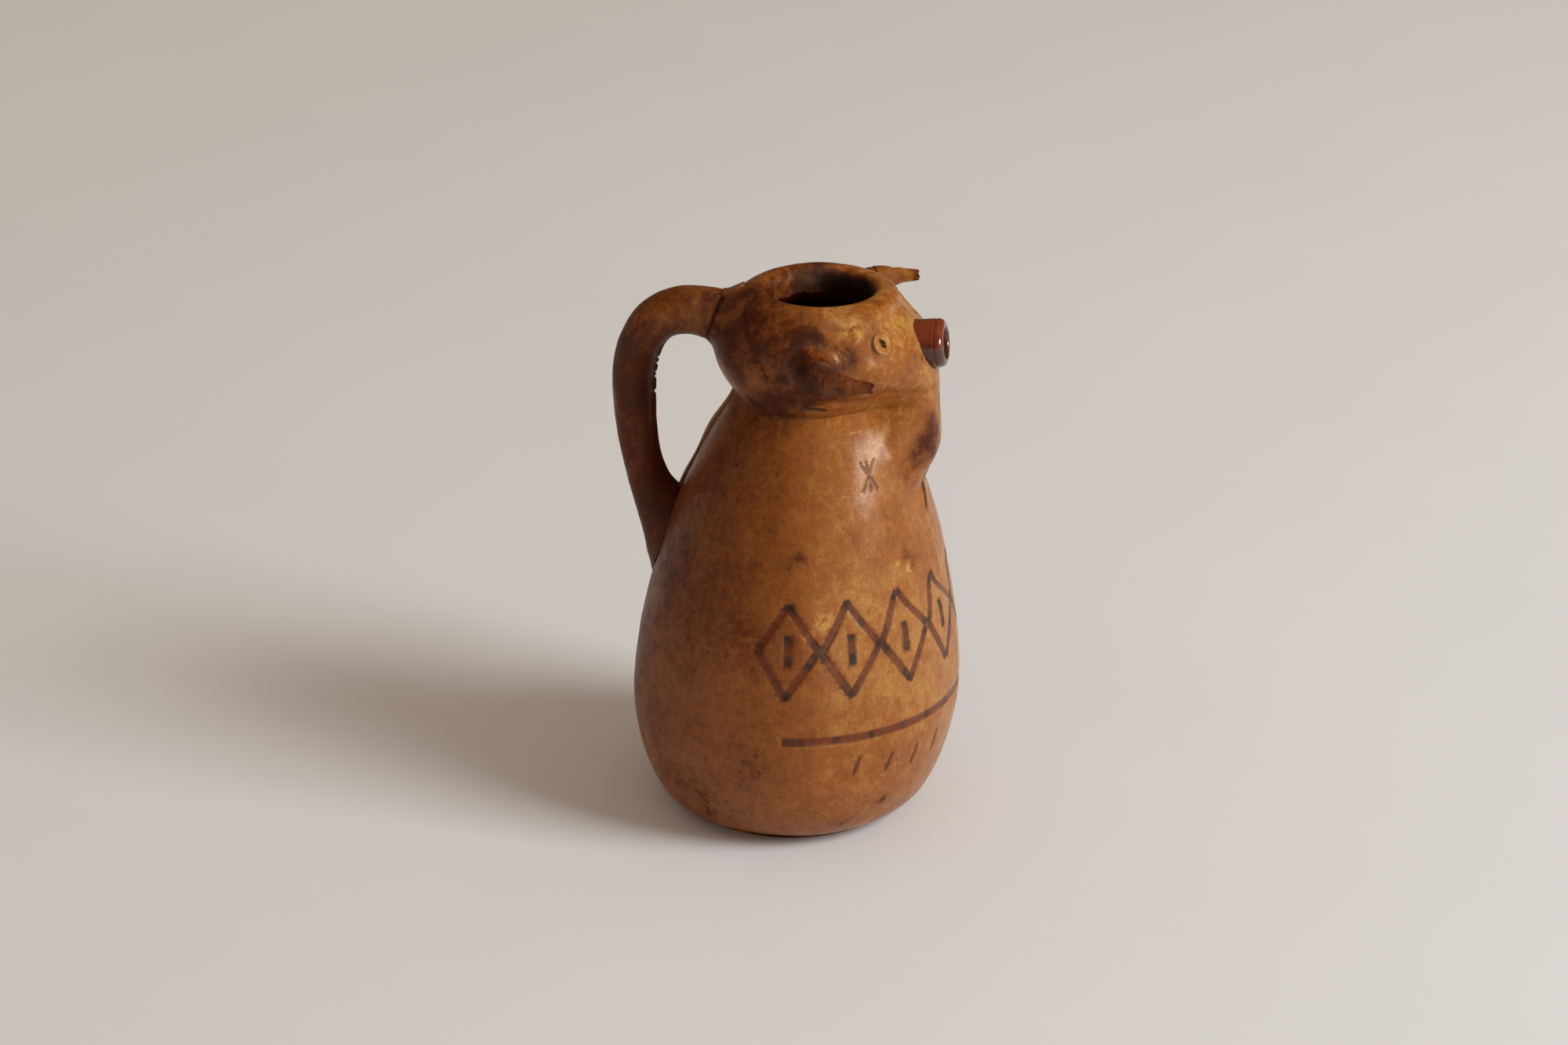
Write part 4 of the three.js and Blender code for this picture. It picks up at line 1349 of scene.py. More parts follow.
def make_horn_tip(side):
    """Thin hide rolled round the nose of the horn's root, with its loose edge running slantwise."""
    place, direction, _ = horn_line(side)

    def shape(along, across):
        ragged = 0.012 * np.sin(across * 23) + 0.008 * np.sin(across * 51)
        share = HORN_JOINT + (1 - HORN_JOINT) * along + ragged * smooth(along, 0.7, 1)
        first, second = cross_frame(direction(share), UP)
        turn = side * (TIP_START + TIP_SLANT * along - TAU * TIP_TURNS * across)
        under = 1.02 * TIP_HIDE * (1 - smooth(across, TIP_LAP - 0.06, TIP_LAP + 0.06))
        puff = TIP_PUFF * np.sin(along * 14 + 3 * across)
        skived = TIP_SKIVED[side] * (1 - smooth(along, 0, 0.15))
        loose = TIP_LOOSE * smooth(across, 0.9, 1)
        radius = horn_radius(share) - under + puff - skived + loose
        spoke = np.cos(turn)[:, None] * first + np.sin(turn)[:, None] * second
        return place(share) + (radius + horn_crest(share, side, spoke))[:, None] * spoke

    name = f"{SIDE_NAMES[side]}_horn_tip"
    mesh = grid_mesh(name, 40, 84, shape)
    middle = Vector(place(0.8))
    turn_sheet(mesh, lambda spot: spot - middle)
    mesh = thickened(mesh, TIP_HIDE)
    _, along = off_path(read_points(mesh), place(np.linspace(HORN_JOINT, 1, 20)))
    joint, nose = TIP_DARKNESS[side]
    root, change = TIP_TAN[side]
    write_value(mesh, "stain_and_shade", joint * bell(along, 0.05) + nose * bell(1 - along, 0.12))
    write_value(mesh, "tan", root * (1 - change * along))
    shade(mesh, 45)
    return new_piece(f"{name}_hide", mesh, [dark_hide_finish("horn"), cut_edge_finish()], "horn_hide", name)


def bevel_sharp(bm, offset, segments):
    """Rounds the sharp edges of a shape."""
    sharp = [edge for edge in bm.edges if edge.calc_face_angle(0) > 0.5]
    bmesh.ops.bevel(
        bm, geom=sharp, offset=offset, segments=segments, profile=0.5, affect="EDGES", material=-1
    )


def make_eye(side):
    """A plug of hide set through the cover, raised at its back, with a slanting slot sunk into it."""
    bm = spun([mm(*point) for point in EYE_PROFILE], 56)
    bevel_sharp(bm, EYE_ROUNDING, 2)
    for vert in bm.verts:
        near_slot = float(1 - smooth(math.hypot(vert.co.x, vert.co.y), *SLOT_REACH))
        bend = SLOT_BEND * side * math.tanh(vert.co.y / SLOT_BEND)
        vert.co.y *= 1 + SLOT_LONGER * near_slot
        vert.co.x = vert.co.x * (1 - SLOT_NARROWER * near_slot) + bend * near_slot
        if vert.co.z > 0:
            vert.co.z += EYE_UNEVEN * noise.noise(vert.co * 420) + EYE_TILT * side * vert.co.x - EYE_SUNK
    bmesh.ops.rotate(bm, verts=bm.verts, cent=(0, 0, 0), matrix=Matrix.Rotation(EYE_TURN * side, 3, "Z"))
    standing(bm, *eye_seat(side))
    name = f"{SIDE_NAMES[side]}_eye"
    mesh = mesh_from(bm, name)
    shade(mesh, 60)
    return new_piece(f"{name}_hide", mesh, [eye_finish(side)], "eye_hide", name)


# Handle


def make_handle_sleeve():
    """Hide wrapped round the handle, its edges pinched together on the inner side of the grip."""
    place, direction, _ = handle_line()

    def skin(share, across):
        """A point of the sleeve by the share of the handle's length and the share round it."""
        outward, sideways = cross_frame(direction(share), SIDEWAYS)
        turn = TAU * across
        spoke = -np.cos(turn)[..., None] * outward + np.sin(turn)[..., None] * sideways
        from_seam = np.minimum(across, 1 - across) * TAU * HANDLE_R
        notched = sum(bell(share - notch, NOTCH_WIDTH) for notch in SEAM_NOTCHES)
        lip = SEAM_LIP * (1 - NOTCH_DEPTH * notched) * bell(from_seam, SEAM_LIP_WIDTH)
        flat = SEAM_FLAT * bell(from_seam, SEAM_FLAT_WIDTH)
        radius = handle_radius(share) + (lip - flat) * between(share, *SEAM_LIP_SHARES)
        points = place(share) + radius[..., None] * spoke
        inner = bell(from_seam, FLARE_INNER_WIDTH)
        near = np.clip(1 - above_hide(points) / (FLARE_REACH[0] + FLARE_REACH[1] * inner), 0, 1)
        flare = smooth(share, *FLARE_SHARES) * (FLARE_HEIGHT[0] + FLARE_HEIGHT[1] * inner) * near**2
        return place(share) + (radius + flare)[..., None] * spoke

    shares = np.linspace(-HANDLE_BURIED, 1 + HANDLE_BURIED, SLEEVE_TRIALS)
    columns = np.linspace(SLEEVE_SLIT, 1 - SLEEVE_SLIT, SLEEVE_SIDES + 1)
    gaps = above_hide(skin(shares[:, None] + 0 * columns, columns + 0 * shares[:, None]))
    middle = len(shares) // 2
    above_collar = gaps[middle::-1] > SLEEVE_ON_COLLAR * COLLAR_RISE
    above_foot = gaps[middle:] > SLEEVE_OFF_BELLY
    above_collar[-1] = above_foot[-1] = False
    starts = shares[middle - np.argmin(above_collar, axis=0)]
    ends = shares[middle + np.argmin(above_foot, axis=0)]

    def shape(along, across):
        across = SLEEVE_SLIT + (1 - 2 * SLEEVE_SLIT) * across
        start = np.interp(across, columns, starts)
        end = np.interp(across, columns, ends)
        return skin(start + (end - start) * along, across)

    mesh = grid_mesh("handle_sleeve", SLEEVE_ROWS, SLEEVE_SIDES, shape)
    line = [Vector(spot) for spot in place(np.linspace(0, 1, 60))]

    def away(spot):
        return spot - min(line, key=lambda centre: (centre - spot).length)

    turn_sheet(mesh, away)
    count = len(mesh.vertices)
    mesh = thickened(mesh, SLEEVE)
    points, outward = read_points(mesh), read_outward(mesh)
    outer = np.arange(len(points)) < count
    lift = sum(height * uneven(points, scale, seed) for height, scale, seed in SLEEVE_LAYERS)
    write_points(mesh, points + outward * (lift * outer)[:, None])
    height, above = points[:, 2], above_hide(points)
    # Painted shade where the sleeve meets the belly
    shade_at_foot = (1 - smooth(above, *FOOT_PAINTED_SHADE)) * (height < GRIP_Z)
    low = 1 - smooth(height, *DARK_BELOW)
    collar = 1 - smooth(np.abs(above - COLLAR_RISE), *JOINT_DARK)
    write_value(mesh, "tan", np.maximum(shade_at_foot, 0.5 + 0.5 * low))
    write_value(mesh, "stain_and_shade", 0.8 * collar * (height > GRIP_Z))
    shade(mesh, 55)
    finishes = [dark_hide_finish("handle"), cut_edge_finish()]
    return new_piece("handle_sleeve_hide", mesh, finishes, "handle_hide", "handle_sleeve")


def make_handle_tab():
    """A tongue of hide on the crown, at the handle's upper root."""
    start = run_at(HANDLE_TOP_Z + TAB_LIFT)

    def shape(along, across):
        run = start + TAB_LENGTH * along
        radius = at_run(OUTLINE, OUTLINE_RUN, run)[:, 0]
        taper = np.sqrt(np.clip(1 - (np.maximum(along - TAB_STRAIGHT, 0) / 0.66) ** 2, 0.02, 1))
        offset = (2 * across - 1) * TAB_HALF_WIDTH * taper
        points = sheet_point(math.pi + offset / radius, run)
        middle = np.stack([centre_x(points[:, 2]), 0 * run, np.full(len(run), TAB_CENTRE_Z)], axis=-1)
        out = points - middle
        out /= np.linalg.norm(out, axis=1, keepdims=True)
        return points + collar_rise(points) + out * (TAB_HIDE + TAB_WAVE * np.sin(5 * along))[:, None]

    mesh = grid_mesh("handle_tab", 26, 18, shape)
    turn_sheet(mesh, lambda spot: Vector((-0.3, 0, 1)))
    mesh = thickened(mesh, TAB_HIDE)
    write_value(mesh, "tan", np.full(len(mesh.vertices), 0.5))
    shade(mesh)
    finishes = [dark_hide_finish("handle"), cut_edge_finish()]
    return new_piece("handle_tab_hide", mesh, finishes, "handle_hide", "handle_tab")


# Earthenware


def spout_seat():
    """Foot, direction and length of the spout."""
    axis = np.array([math.cos(SPOUT_TILT), 0, math.sin(SPOUT_TILT)])
    end = hide_point(0, SPOUT_Z) + SPOUT_SHOW * axis
    size = end[0] - centre_x(HEAD_Z) - (HEAD_R - SPOUT_SET_IN)
    return end - size * axis, axis, size


def make_spout():
    foot, axis, size = spout_seat()
    lip, throat = SPOUT_LIP, SPOUT_R - SPOUT_BORE_R - SPOUT_LIP
    bend = np.linspace(0, math.pi / 2, 9)
    outer = [(SPOUT_R - lip * (1 - math.cos(b)), size - lip + lip * math.sin(b)) for b in bend]
    inner = [(SPOUT_BORE_R + throat * (1 - math.sin(b)), size - lip + lip * math.cos(b)) for b in bend]
    groove_radii = (SPOUT_R, SPOUT_R - SPOUT_GROOVE, SPOUT_R)
    groove = [(r, size - below) for r, below in zip(groove_radii, SPOUT_GROOVE_LEVELS)]
    body = [(SPOUT_R, h) for h in np.linspace(0, size - SPOUT_BODY_STOP, 8)]
    bore = [(SPOUT_BORE_R, h) for h in np.linspace(size - SPOUT_BORE_STOP, 0, 6)]
    profile = body + groove + outer + inner + bore
    bm = spun(profile + profile[:1], 72)
    for vert in bm.verts:
        wobble = SPOUT_WOBBLE * noise.noise(vert.co * 120 + Vector((5, 5, 5)))
        vert.co += Vector((vert.co.x, vert.co.y, 0)).normalized() * wobble
    standing(bm, foot, axis)
    mesh = mesh_from(bm, "pouring_spout")
    shade(mesh)
    finishes = [glaze_finish("spout")]
    return new_piece("pouring_spout_glazed", mesh, finishes, "glazed_earthenware", "pouring_spout")


def inset_outline(depth, runs):
    """Points of the hide's outline, a depth inside its outer face."""
    points = at_run(OUTLINE, OUTLINE_RUN, runs)
    way = at_run(OUTLINE, OUTLINE_RUN, runs + 0.05 * MM) - at_run(OUTLINE, OUTLINE_RUN, runs - 0.05 * MM)
    way /= np.linalg.norm(way, axis=1, keepdims=True)
    return points - depth * np.stack([way[:, 1], -way[:, 0]], axis=-1)


def make_liner():
    """The jug itself: only its throat shows, inside the turned-in hide."""
    bed = bpy.context.scene.pitcher_hide.thickness + GLUE
    start = OUTLINE_RUN[1] + 0.1 * MM
    outside = inset_outline(bed, np.linspace(start, OUTLINE_RUN[-1] - 0.1 * MM, 90))
    inside = inset_outline(bed + WALL, np.linspace(start, run_at(HEAD_Z), 56))[::-1]
    throat = outside[-1]
    ceiling = cubic(throat, throat - [0, WALL], inside[0] + [0, WALL], inside[0], count=10)[1:-1]
    section = np.vstack([[(0, outside[0, 1])], outside, ceiling, inside, [(0, inside[-1, 1])]])
    bm = spun([tuple(p) for p in section], 96)
    for vert in bm.verts:
        radius = max(vert.co.xy.length, MM)
        inward = 1 - float(forehead(math.atan2(vert.co.y, vert.co.x), vert.co.z)) / radius
        vert.co.xy = vert.co.xy * inward
        vert.co.x += centre_x(vert.co.z)
    mesh = mesh_from(bm, "jug_liner")
    foot, axis, _ = spout_seat()
    cutter = bmesh.new()
    bmesh.ops.create_cone(
        cutter, cap_ends=True, segments=48, radius1=SPOUT_BORE_R, radius2=SPOUT_BORE_R, depth=BORE_CUTTER
    )
    standing(cutter, foot, axis)
    bore = bpy.data.objects.new("bore", mesh_from(cutter, "bore"))
    bpy.context.scene.collection.objects.link(bore)
    mesh = applied(mesh, "BOOLEAN", operation="DIFFERENCE", solver="EXACT", object=bore)
    bpy.data.objects.remove(bore)
    shade(mesh)
    return new_piece("jug_liner_glazed", mesh, [glaze_finish("liner")], "glazed_earthenware", "jug_liner")


def finish_core():
    """The handle's core stays as it is: its sleeve hides it."""
    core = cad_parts["handle_core"]
    core.data.materials.clear()
    core.data.materials.append(glaze_finish("liner"))


def make_base_disc():
    bm = spun([(0, 0), (FOOT_R, 0), (FOOT_R, SOLE), (0, SOLE)], 120)
    bevel_sharp(bm, 0.6 * MM, 3)
    mesh = mesh_from(bm, "base_disc")
    shade(mesh)
    return new_piece("base_disc_hide", mesh, [dark_hide_finish("sole")], "sole_hide", "base_disc")


# Finishes


class Nodes:
    """Short ways to add nodes to a tree."""

    def __init__(self, tree):
        self.tree = tree

    def feed(self, sockets, values):
        """Links or sets inputs by name or number."""
        for name, value in values.items():
            if isinstance(value, bpy.types.NodeSocket):
                self.tree.links.new(value, sockets[name])
            else:
                sockets[name].default_value = value

    def add(self, kind, inputs=None, **settings):
        node = self.tree.nodes.new(kind)
        for name, value in settings.items():
            setattr(node, name, value)
        self.feed(node.inputs, inputs or {})
        return node

    def group(self, name, inputs):
        return self.add("ShaderNodeGroup", inputs, node_tree=shared_effect(name)).outputs

    def place(self):
        return self.add("ShaderNodeTexCoord").outputs["Object"]

    def level(self):
        return self.add("ShaderNodeSeparateXYZ", {0: self.place()}).outputs["Z"]

    def noise(self, vector, scale, detail=4.0, roughness=0.55, distortion=0.0):
        inputs = {"Vector": vector, "Scale": scale, "Detail": detail}
        inputs.update({"Roughness": roughness, "Distortion": distortion})
        return self.add("ShaderNodeTexNoise", inputs).outputs["Fac"]

    def cells(self, vector, scale, feature="F1"):
        return self.add("ShaderNodeTexVoronoi", {"Vector": vector, "Scale": scale}, feature=feature).outputs

    def math(self, operation, first, second):
        return self.add("ShaderNodeMath", {0: first, 1: second}, operation=operation).outputs[0]

    def plus(self, first, second):
        return self.math("ADD", first, second)

    def minus(self, first, second):
        return self.math("SUBTRACT", first, second)

    def times(self, first, second):
        return self.math("MULTIPLY", first, second)

    def larger(self, first, second):
        return self.math("MAXIMUM", first, second)

    def vectors(self, operation, inputs, output=0):
        return self.add("ShaderNodeVectorMath", inputs, operation=operation).outputs[output]

    def stretched(self, vector, shares):
        return self.vectors("MULTIPLY", {0: vector, 1: shares})

    def spread(self, value, low, high, to_low=0.0, to_high=1.0):
        inputs = {"Value": value, "From Min": low, "From Max": high, "To Min": to_low, "To Max": to_high}
        return self.add("ShaderNodeMapRange", inputs).outputs["Result"]

    def mix(self, share, first, second, blend="MIX"):
        inputs = {"Factor": share, 6: first, 7: second}
        return self.add("ShaderNodeMix", inputs, data_type="RGBA", blend_type=blend).outputs[2]

    def centred(self, pattern, weight):
        return self.times(self.minus(pattern, 0.5), weight)

    def value(self, name):
        return self.add("ShaderNodeAttribute", attribute_name=name).outputs["Fac"]

    def bump(self, height, strength, distance):
        inputs = {"Height": height, "Strength": strength, "Distance": distance}
        return self.add("ShaderNodeBump", inputs).outputs["Normal"]


def opaque(values):
    return (*values, 1)


COLOUR, VALUE = "NodeSocketColor", "NodeSocketFloat"


def new_effect(name, inputs, outputs):
    """An empty node group with named sockets: its nodes, what it is given and what it puts out."""
    tree = bpy.data.node_groups.new(name, "ShaderNodeTree")
    for label, kind, default in inputs:
        tree.interface.new_socket(name=label, in_out="INPUT", socket_type=kind).default_value = default
    for label, kind in outputs.items():
        tree.interface.new_socket(name=label, in_out="OUTPUT", socket_type=kind)
    given = tree.nodes.new("NodeGroupInput").outputs
    return Nodes(tree), given, tree.nodes.new("NodeGroupOutput").inputs


def mottle_effect(name):
    """Hide colour that wanders from rubbed to stained, with more mottling and patches of painted greyish
    sheen on the head.
    """
    colours = [(label, COLOUR, (0.5, 0.3, 0.1, 1)) for label in ("Pale", "Ochre", "Umber", "Soot_and_shade")]
    values = [(label, VALUE, 0.0) for label in ("Stain_and_shade", "Tan", "Rubbed_and_highlight")]
    n, given, wanted = new_effect(name, colours + values, {"Color": COLOUR, "Dark": VALUE})
    place = n.place()
    broad = n.noise(place, 15, 3, 0.5)
    blots = n.noise(place, 85, 8, 0.7)
    cloud = n.noise(place, 300, 5, 0.7)
    fine = n.noise(place, 1100, 3, 0.6)
    streak = n.noise(n.stretched(place, (1.0, 1.0, 0.14)), 600, 3, 0.6)
    reach = n.plus(given["Stain_and_shade"], n.centred(blots, 2.0))
    patch = n.times(n.spread(reach, 0.3, 0.85), n.spread(given["Stain_and_shade"], 0.02, 0.3))
    dark = n.plus(n.times(patch, 0.34), n.times(given["Stain_and_shade"], 0.34))
    dark = n.plus(n.plus(dark, 0.24), n.times(given["Tan"], 0.5))
    for pattern, weight in ((broad, 0.5), (blots, 0.55), (cloud, 0.45), (streak, 0.22), (fine, 0.35)):
        dark = n.plus(dark, n.centred(pattern, weight))
    head = n.spread(n.level(), 0.2, 0.222)
    handled = n.noise(place, 60, 7, 0.72, 0.6)
    dark = n.plus(dark, n.times(head, n.centred(handled, 1.3)))
    # Rubbed patches lighten the hide, partly as painted highlight
    worn_and_highlight = n.times(given["Rubbed_and_highlight"], n.spread(cloud, 0.46, 0.56))
    scratches = n.spread(n.noise(n.stretched(place, (0.06, 0.06, 1.0)), 900, 2, 0.5), 0.66, 0.74)
    worn_and_highlight = n.plus(worn_and_highlight, n.times(scratches, n.spread(blots, 0.5, 0.6, 0.0, 0.4)))
    dark = n.minus(dark, n.times(worn_and_highlight, 0.6))
    spots = n.cells(place, 120.0)
    size = n.times(n.add("ShaderNodeSeparateColor", {0: spots["Color"]}).outputs[0], 0.21)
    rim = n.minus(spots["Distance"], n.minus(size, 0.135))
    dark = n.plus(dark, n.spread(rim, 0.0, 0.05, 0.3, 0.0))
    tone = n.mix(n.spread(dark, 0.0, 0.3), given["Pale"], given["Ochre"])
    tone = n.mix(n.spread(dark, 0.3, 0.75), tone, given["Umber"])
    tone = n.mix(n.spread(dark, 0.75, 1.3), tone, given["Soot_and_shade"])
    # Painted sheen: greyish patches on the head
    painted_sheen = n.spread(n.noise(place, 48, 7, 0.72), 0.5, 0.68, 0.0, 0.2)
    painted_sheen = n.times(painted_sheen, n.spread(dark, 0.8, 1.1, 1.0, 0.2))
    tone = n.mix(n.times(head, painted_sheen), tone, (0.2, 0.135, 0.1, 1))
    n.feed(wanted, {"Color": tone, "Dark": n.spread(dark, 0.0, 1.0)})
    return n.tree


def grain_effect(name):
    """Pores and fine wrinkles of waxed hide, as a height and a mask of the pores."""
    n, given, wanted = new_effect(name, [("Fineness", VALUE, 1.0)], {"Height": VALUE, "Pores": VALUE})
    place = n.place()
    bent = n.vectors("ADD", {0: place, 1: n.noise(place, 160, 3)})
    scaled = n.vectors("SCALE", {0: bent, "Scale": given["Fineness"]})
    pores = n.spread(n.cells(scaled, 820.0)["Distance"], 0.0, 0.16, 1.0, 0.0)
    wrinkle = n.cells(scaled, 420.0, "DISTANCE_TO_EDGE")["Distance"]
    fibre = n.noise(scaled, 1500, 3)
    height = n.plus(n.spread(wrinkle, 0.0, 0.08, 0.0, 0.6), n.times(fibre, 0.35))
    n.feed(wanted, {"Height": n.minus(height, n.times(pores, 0.8)), "Pores": pores})
    return n.tree


def glaze_effect(name):
    """Glaze that runs from thin red to thick brown across a level, with iron specks."""
    inputs = [
        ("Thin", COLOUR, (0.3, 0.05, 0.02, 1)),
        ("Thick", COLOUR, (0.03, 0.01, 0.005, 1)),
        ("Level", VALUE, 0.23),
    ]
    n, given, wanted = new_effect(name, inputs, {"Color": COLOUR, "Height": VALUE, "Smear": VALUE})
    place = n.place()
    flow = n.noise(place, 90, 5, 0.6, 1.2)
    edge = n.plus(n.minus(n.level(), given["Level"]), n.centred(flow, 0.016))
    tone = n.mix(n.spread(edge, -0.003, 0.004), given["Thick"], given["Thin"])
    runs = n.noise(n.stretched(place, (1.0, 1.0, 0.3)), 240, 4)
    tone = n.mix(n.spread(runs, 0.35, 0.65, 0.0, 0.4), tone, given["Thick"])
    specks = n.spread(n.noise(place, 700, 2), 0.62, 0.72)
    tone = n.mix(n.times(specks, 0.5), tone, given["Thick"])
    n.feed(wanted, {"Color": tone, "Height": n.noise(place, 240, 3), "Smear": flow})
    return n.tree


EFFECTS = {"Hide mottle and sheen": mottle_effect, "Hide grain": grain_effect, "Glaze flow": glaze_effect}


def shared_effect(name):
    return bpy.data.node_groups.get(name) or EFFECTS[name](name)


def shared_finish(name, paint):
    """A material, made once. The paint function sets its shader's inputs."""
    material = bpy.data.materials.get(name)
    if not material:
        material = bpy.data.materials.new(name)
        material.use_nodes = True
        n = Nodes(material.node_tree)
        n.feed(material.node_tree.nodes["Principled BSDF"].inputs, paint(n))
    return material


def mottled(n, stain_and_shade, tan, rubbed_and_highlight):
    """Colour and darkness of mottled hide."""
    hide = bpy.context.scene.pitcher_hide
    inputs = {name: opaque(getattr(hide, name.lower())) for name in ("Pale", "Ochre", "Umber", "Soot_and_shade")}
    return n.group("Hide mottle and sheen", {**inputs, "Stain_and_shade": stain_and_shade, "Tan": tan, "Rubbed_and_highlight": rubbed_and_highlight})


def waxed(n, tone, dark, matte=0.0, relief=0.35):
    """Shader inputs of waxed hide: darker hide is duller, and matte places have no wax."""
    grain = n.group("Hide grain", {"Fineness": 1.0})
    shadowed = n.mix(1.0, tone, (0.35, 0.3, 0.28, 1), "MULTIPLY")
    patchy = n.centred(n.noise(n.place(), 70, 5, 0.65), 0.3)
    rough = n.plus(n.spread(dark, 0.2, 0.9, 0.32, 0.45), patchy)
    wax = n.minus(n.spread(dark, 0.2, 0.75, 0.38, 0.0), patchy)
    return {
        "Base Color": n.mix(n.times(grain["Pores"], 0.35), tone, shadowed),
        "Roughness": n.plus(rough, n.times(matte, 0.3)),
        "Coat Weight": n.larger(n.times(wax, n.minus(1.0, matte)), 0.0),
        "Coat Roughness": 0.28,
        "Specular IOR Level": 0.3,
        "Specular Tint": (1, 0.85, 0.62, 1),
        "Normal": n.bump(grain["Height"], relief, 0.35 * MM),
    }


def body_hide_finish():
    """Mottled hide with burnt marks, soot and pale edges, and painted shade in creases and in the slit."""
    hide = bpy.context.scene.pitcher_hide

    def paint(n):
        # Creases get painted shade
        stain_and_shade = n.larger(n.value("stain_and_shade"), n.times(n.value("crease_shade"), 0.65))
        made = mottled(n, stain_and_shade, n.value("tan"), n.value("rubbed_and_highlight"))
        burnt = n.mix(n.noise(n.place(), 190, 4), opaque(hide.burnt), opaque(hide.umber))
        tone = n.mix(n.times(n.value("burnt"), 0.85), made["Color"], burnt)
        sooty = n.times(n.value("soot_and_shade"), n.spread(n.noise(n.place(), 240, 4), 0.25, 0.6, 0.35, 1.0))
        tone = n.mix(sooty, tone, opaque(hide.soot_and_shade))
        tone = n.mix(n.times(n.value("edge"), 0.5), tone, opaque(hide.cut_edge))
        return waxed(n, tone, made["Dark"], n.value("matte"))

    return shared_finish("Body hide", paint)


def dark_hide_finish(use):
    """Darker hide of the handle, the horn tips and the sole."""
    stain_and_shade = {"handle": 0.12, "horn": 0.05, "sole": 0.6}[use]

    def paint(n):
        patches = n.spread(n.noise(n.place(), 34, 4), 0.35, 0.65, stain_and_shade - 0.2, stain_and_shade + 0.3)
        made = mottled(n, n.larger(patches, n.value("stain_and_shade")), n.value("tan"), 0.0)
        return waxed(n, made["Color"], made["Dark"])

    return shared_finish(f"Dark hide {use}", paint)


def cut_edge_finish():
    """Raw, fibrous edge of the hide."""
    hide = bpy.context.scene.pitcher_hide

    def paint(n):
        fibres = n.noise(n.place(), 900, 4)
        return {
            "Base Color": n.mix(n.spread(fibres, 0.35, 0.7), opaque(hide.cut_edge), opaque(hide.umber)),
            "Roughness": n.spread(fibres, 0.2, 0.8, 0.7, 0.9),
            "Normal": n.bump(fibres, 0.5, 0.3 * MM),
        }

    return shared_finish("Cut edge of hide", paint)


def eye_finish(side):
    """Pale hide with painted shade in the slot, bare of wax, with a raw edge at its back, partly a painted
    highlight.
    """
    hide = bpy.context.scene.pitcher_hide
    seat, outward = eye_seat(side)
    middle = seat + 0.8 * MM * outward
    behind = hide_point(EYE_ANGLE + 0.1, EYE_Z - 2 * MM, side) - seat
    behind /= np.linalg.norm(behind)

    def paint(n):
        made = mottled(n, 0.0, 0.0, 0.2)
        tone = n.mix(0.3, made["Color"], opaque(hide.eye))
        offset = n.vectors("SUBTRACT", {0: n.place(), 1: tuple(middle)})
        from_middle = n.vectors("LENGTH", {0: offset}, "Value")
        backward = n.vectors("DOT_PRODUCT", {0: offset, 1: tuple(behind)}, "Value")
        shaggy = n.plus(from_middle, n.times(n.noise(n.place(), 700, 3), 0.6 * MM))
        # Painted shade in the slot
        tone = n.mix(n.spread(shaggy, *mm(1.7, 2.5)), opaque(hide.soot_and_shade), tone)
        # Pale raw edge at the back, partly a painted highlight where the raised edge catches the light
        rim = n.times(n.spread(shaggy, *mm(4.4, 5.1)), n.spread(backward, *mm(-1, 3), 0.0, 0.7))
        tone = n.mix(rim, tone, opaque(hide.cut_edge))
        return waxed(n, tone, made["Dark"], 0.6, relief=0.25)

    return shared_finish(f"Eye hide {SIDE_NAMES[side]}", paint)


def glaze_finish(use):
    """Glossy glaze, red above a level and brown below it."""
    glaze = bpy.context.scene.pitcher_glaze
    level = {"spout": glaze.spout_change, "liner": HEAD_Z + 8 * MM}[use]

    def paint(n):
        inputs = {"Thin": opaque(glaze.red), "Thick": opaque(glaze.brown), "Level": level}
        made = n.group("Glaze flow", inputs)
        return {
            "Base Color": made["Color"],
            "Roughness": n.spread(made["Smear"], 0.3, 0.7, 0.12, 0.26),
            "Coat Weight": 0.35,
            "Coat Roughness": 0.08,
            "Normal": n.bump(made["Height"], 0.15, 0.4 * MM),
        }

    return shared_finish(f"Glaze {use}", paint)


def floor_finish():
    """Dull, slightly uneven paper."""
    setup = bpy.context.scene.pitcher_stage

    def paint(n):
        paper = n.noise(n.place(), 6, 3)
        shadowed = (0.55, 0.54, 0.53, 1)
        return {
            "Base Color": n.mix(n.spread(paper, 0.3, 0.7, 0.0, 0.06), opaque(setup.floor), shadowed),
            "Roughness": n.spread(paper, 0.3, 0.7, 0.75, 0.85),
            "Specular IOR Level": 0,
        }

    return shared_finish("Floor paper", paint)


# Stage


FLOOR_R = 9
CAMERA_TARGET = Vector((2.35 * MM, 0, 100 * MM))
AIM_LEFT = 5.9 * MM
AIM_UP = 33.8 * MM
LIGHT_TARGET = Vector((0, 0, 120 * MM))
LIGHT_DISTANCE = 4
WINDOW_WAY = Vector((0.83, -0.18, 0.54)).normalized()
WINDOW_SIZE = (1.6, 2.2)
WINDOW_TINT = (0.86, 0.94, 1.0)
PANE_WAY = Vector((0.893, -0.307, 0.33))
PANE_SIZE = (1.3, 0.85)
PANE_TINT = (1.0, 0.93, 0.82)
SKY_TINT = (1.0, 0.82, 0.67, 1)
SKY_MIRRORED = 0.15


def on_stage(name, data):
    """A floor, camera or light in the scene."""
    item = bpy.data.objects.new(name, data)
    bpy.context.scene.collection.objects.link(item)
    return item


def look_at(item, target):
    item.rotation_euler = (target - item.location).to_track_quat("-Z", "Y").to_euler()


def area_light(name, size, watts, tint, way):
    """A rectangular light that faces the pitcher."""
    light = bpy.data.lights.new(name, "AREA")
    light.shape = "RECTANGLE"
    light.size, light.size_y = size
    light.energy = watts
    light.color = tint
    lamp = on_stage(name, light)
    lamp.location = LIGHT_TARGET + LIGHT_DISTANCE * way
    look_at(lamp, LIGHT_TARGET)
    return lamp


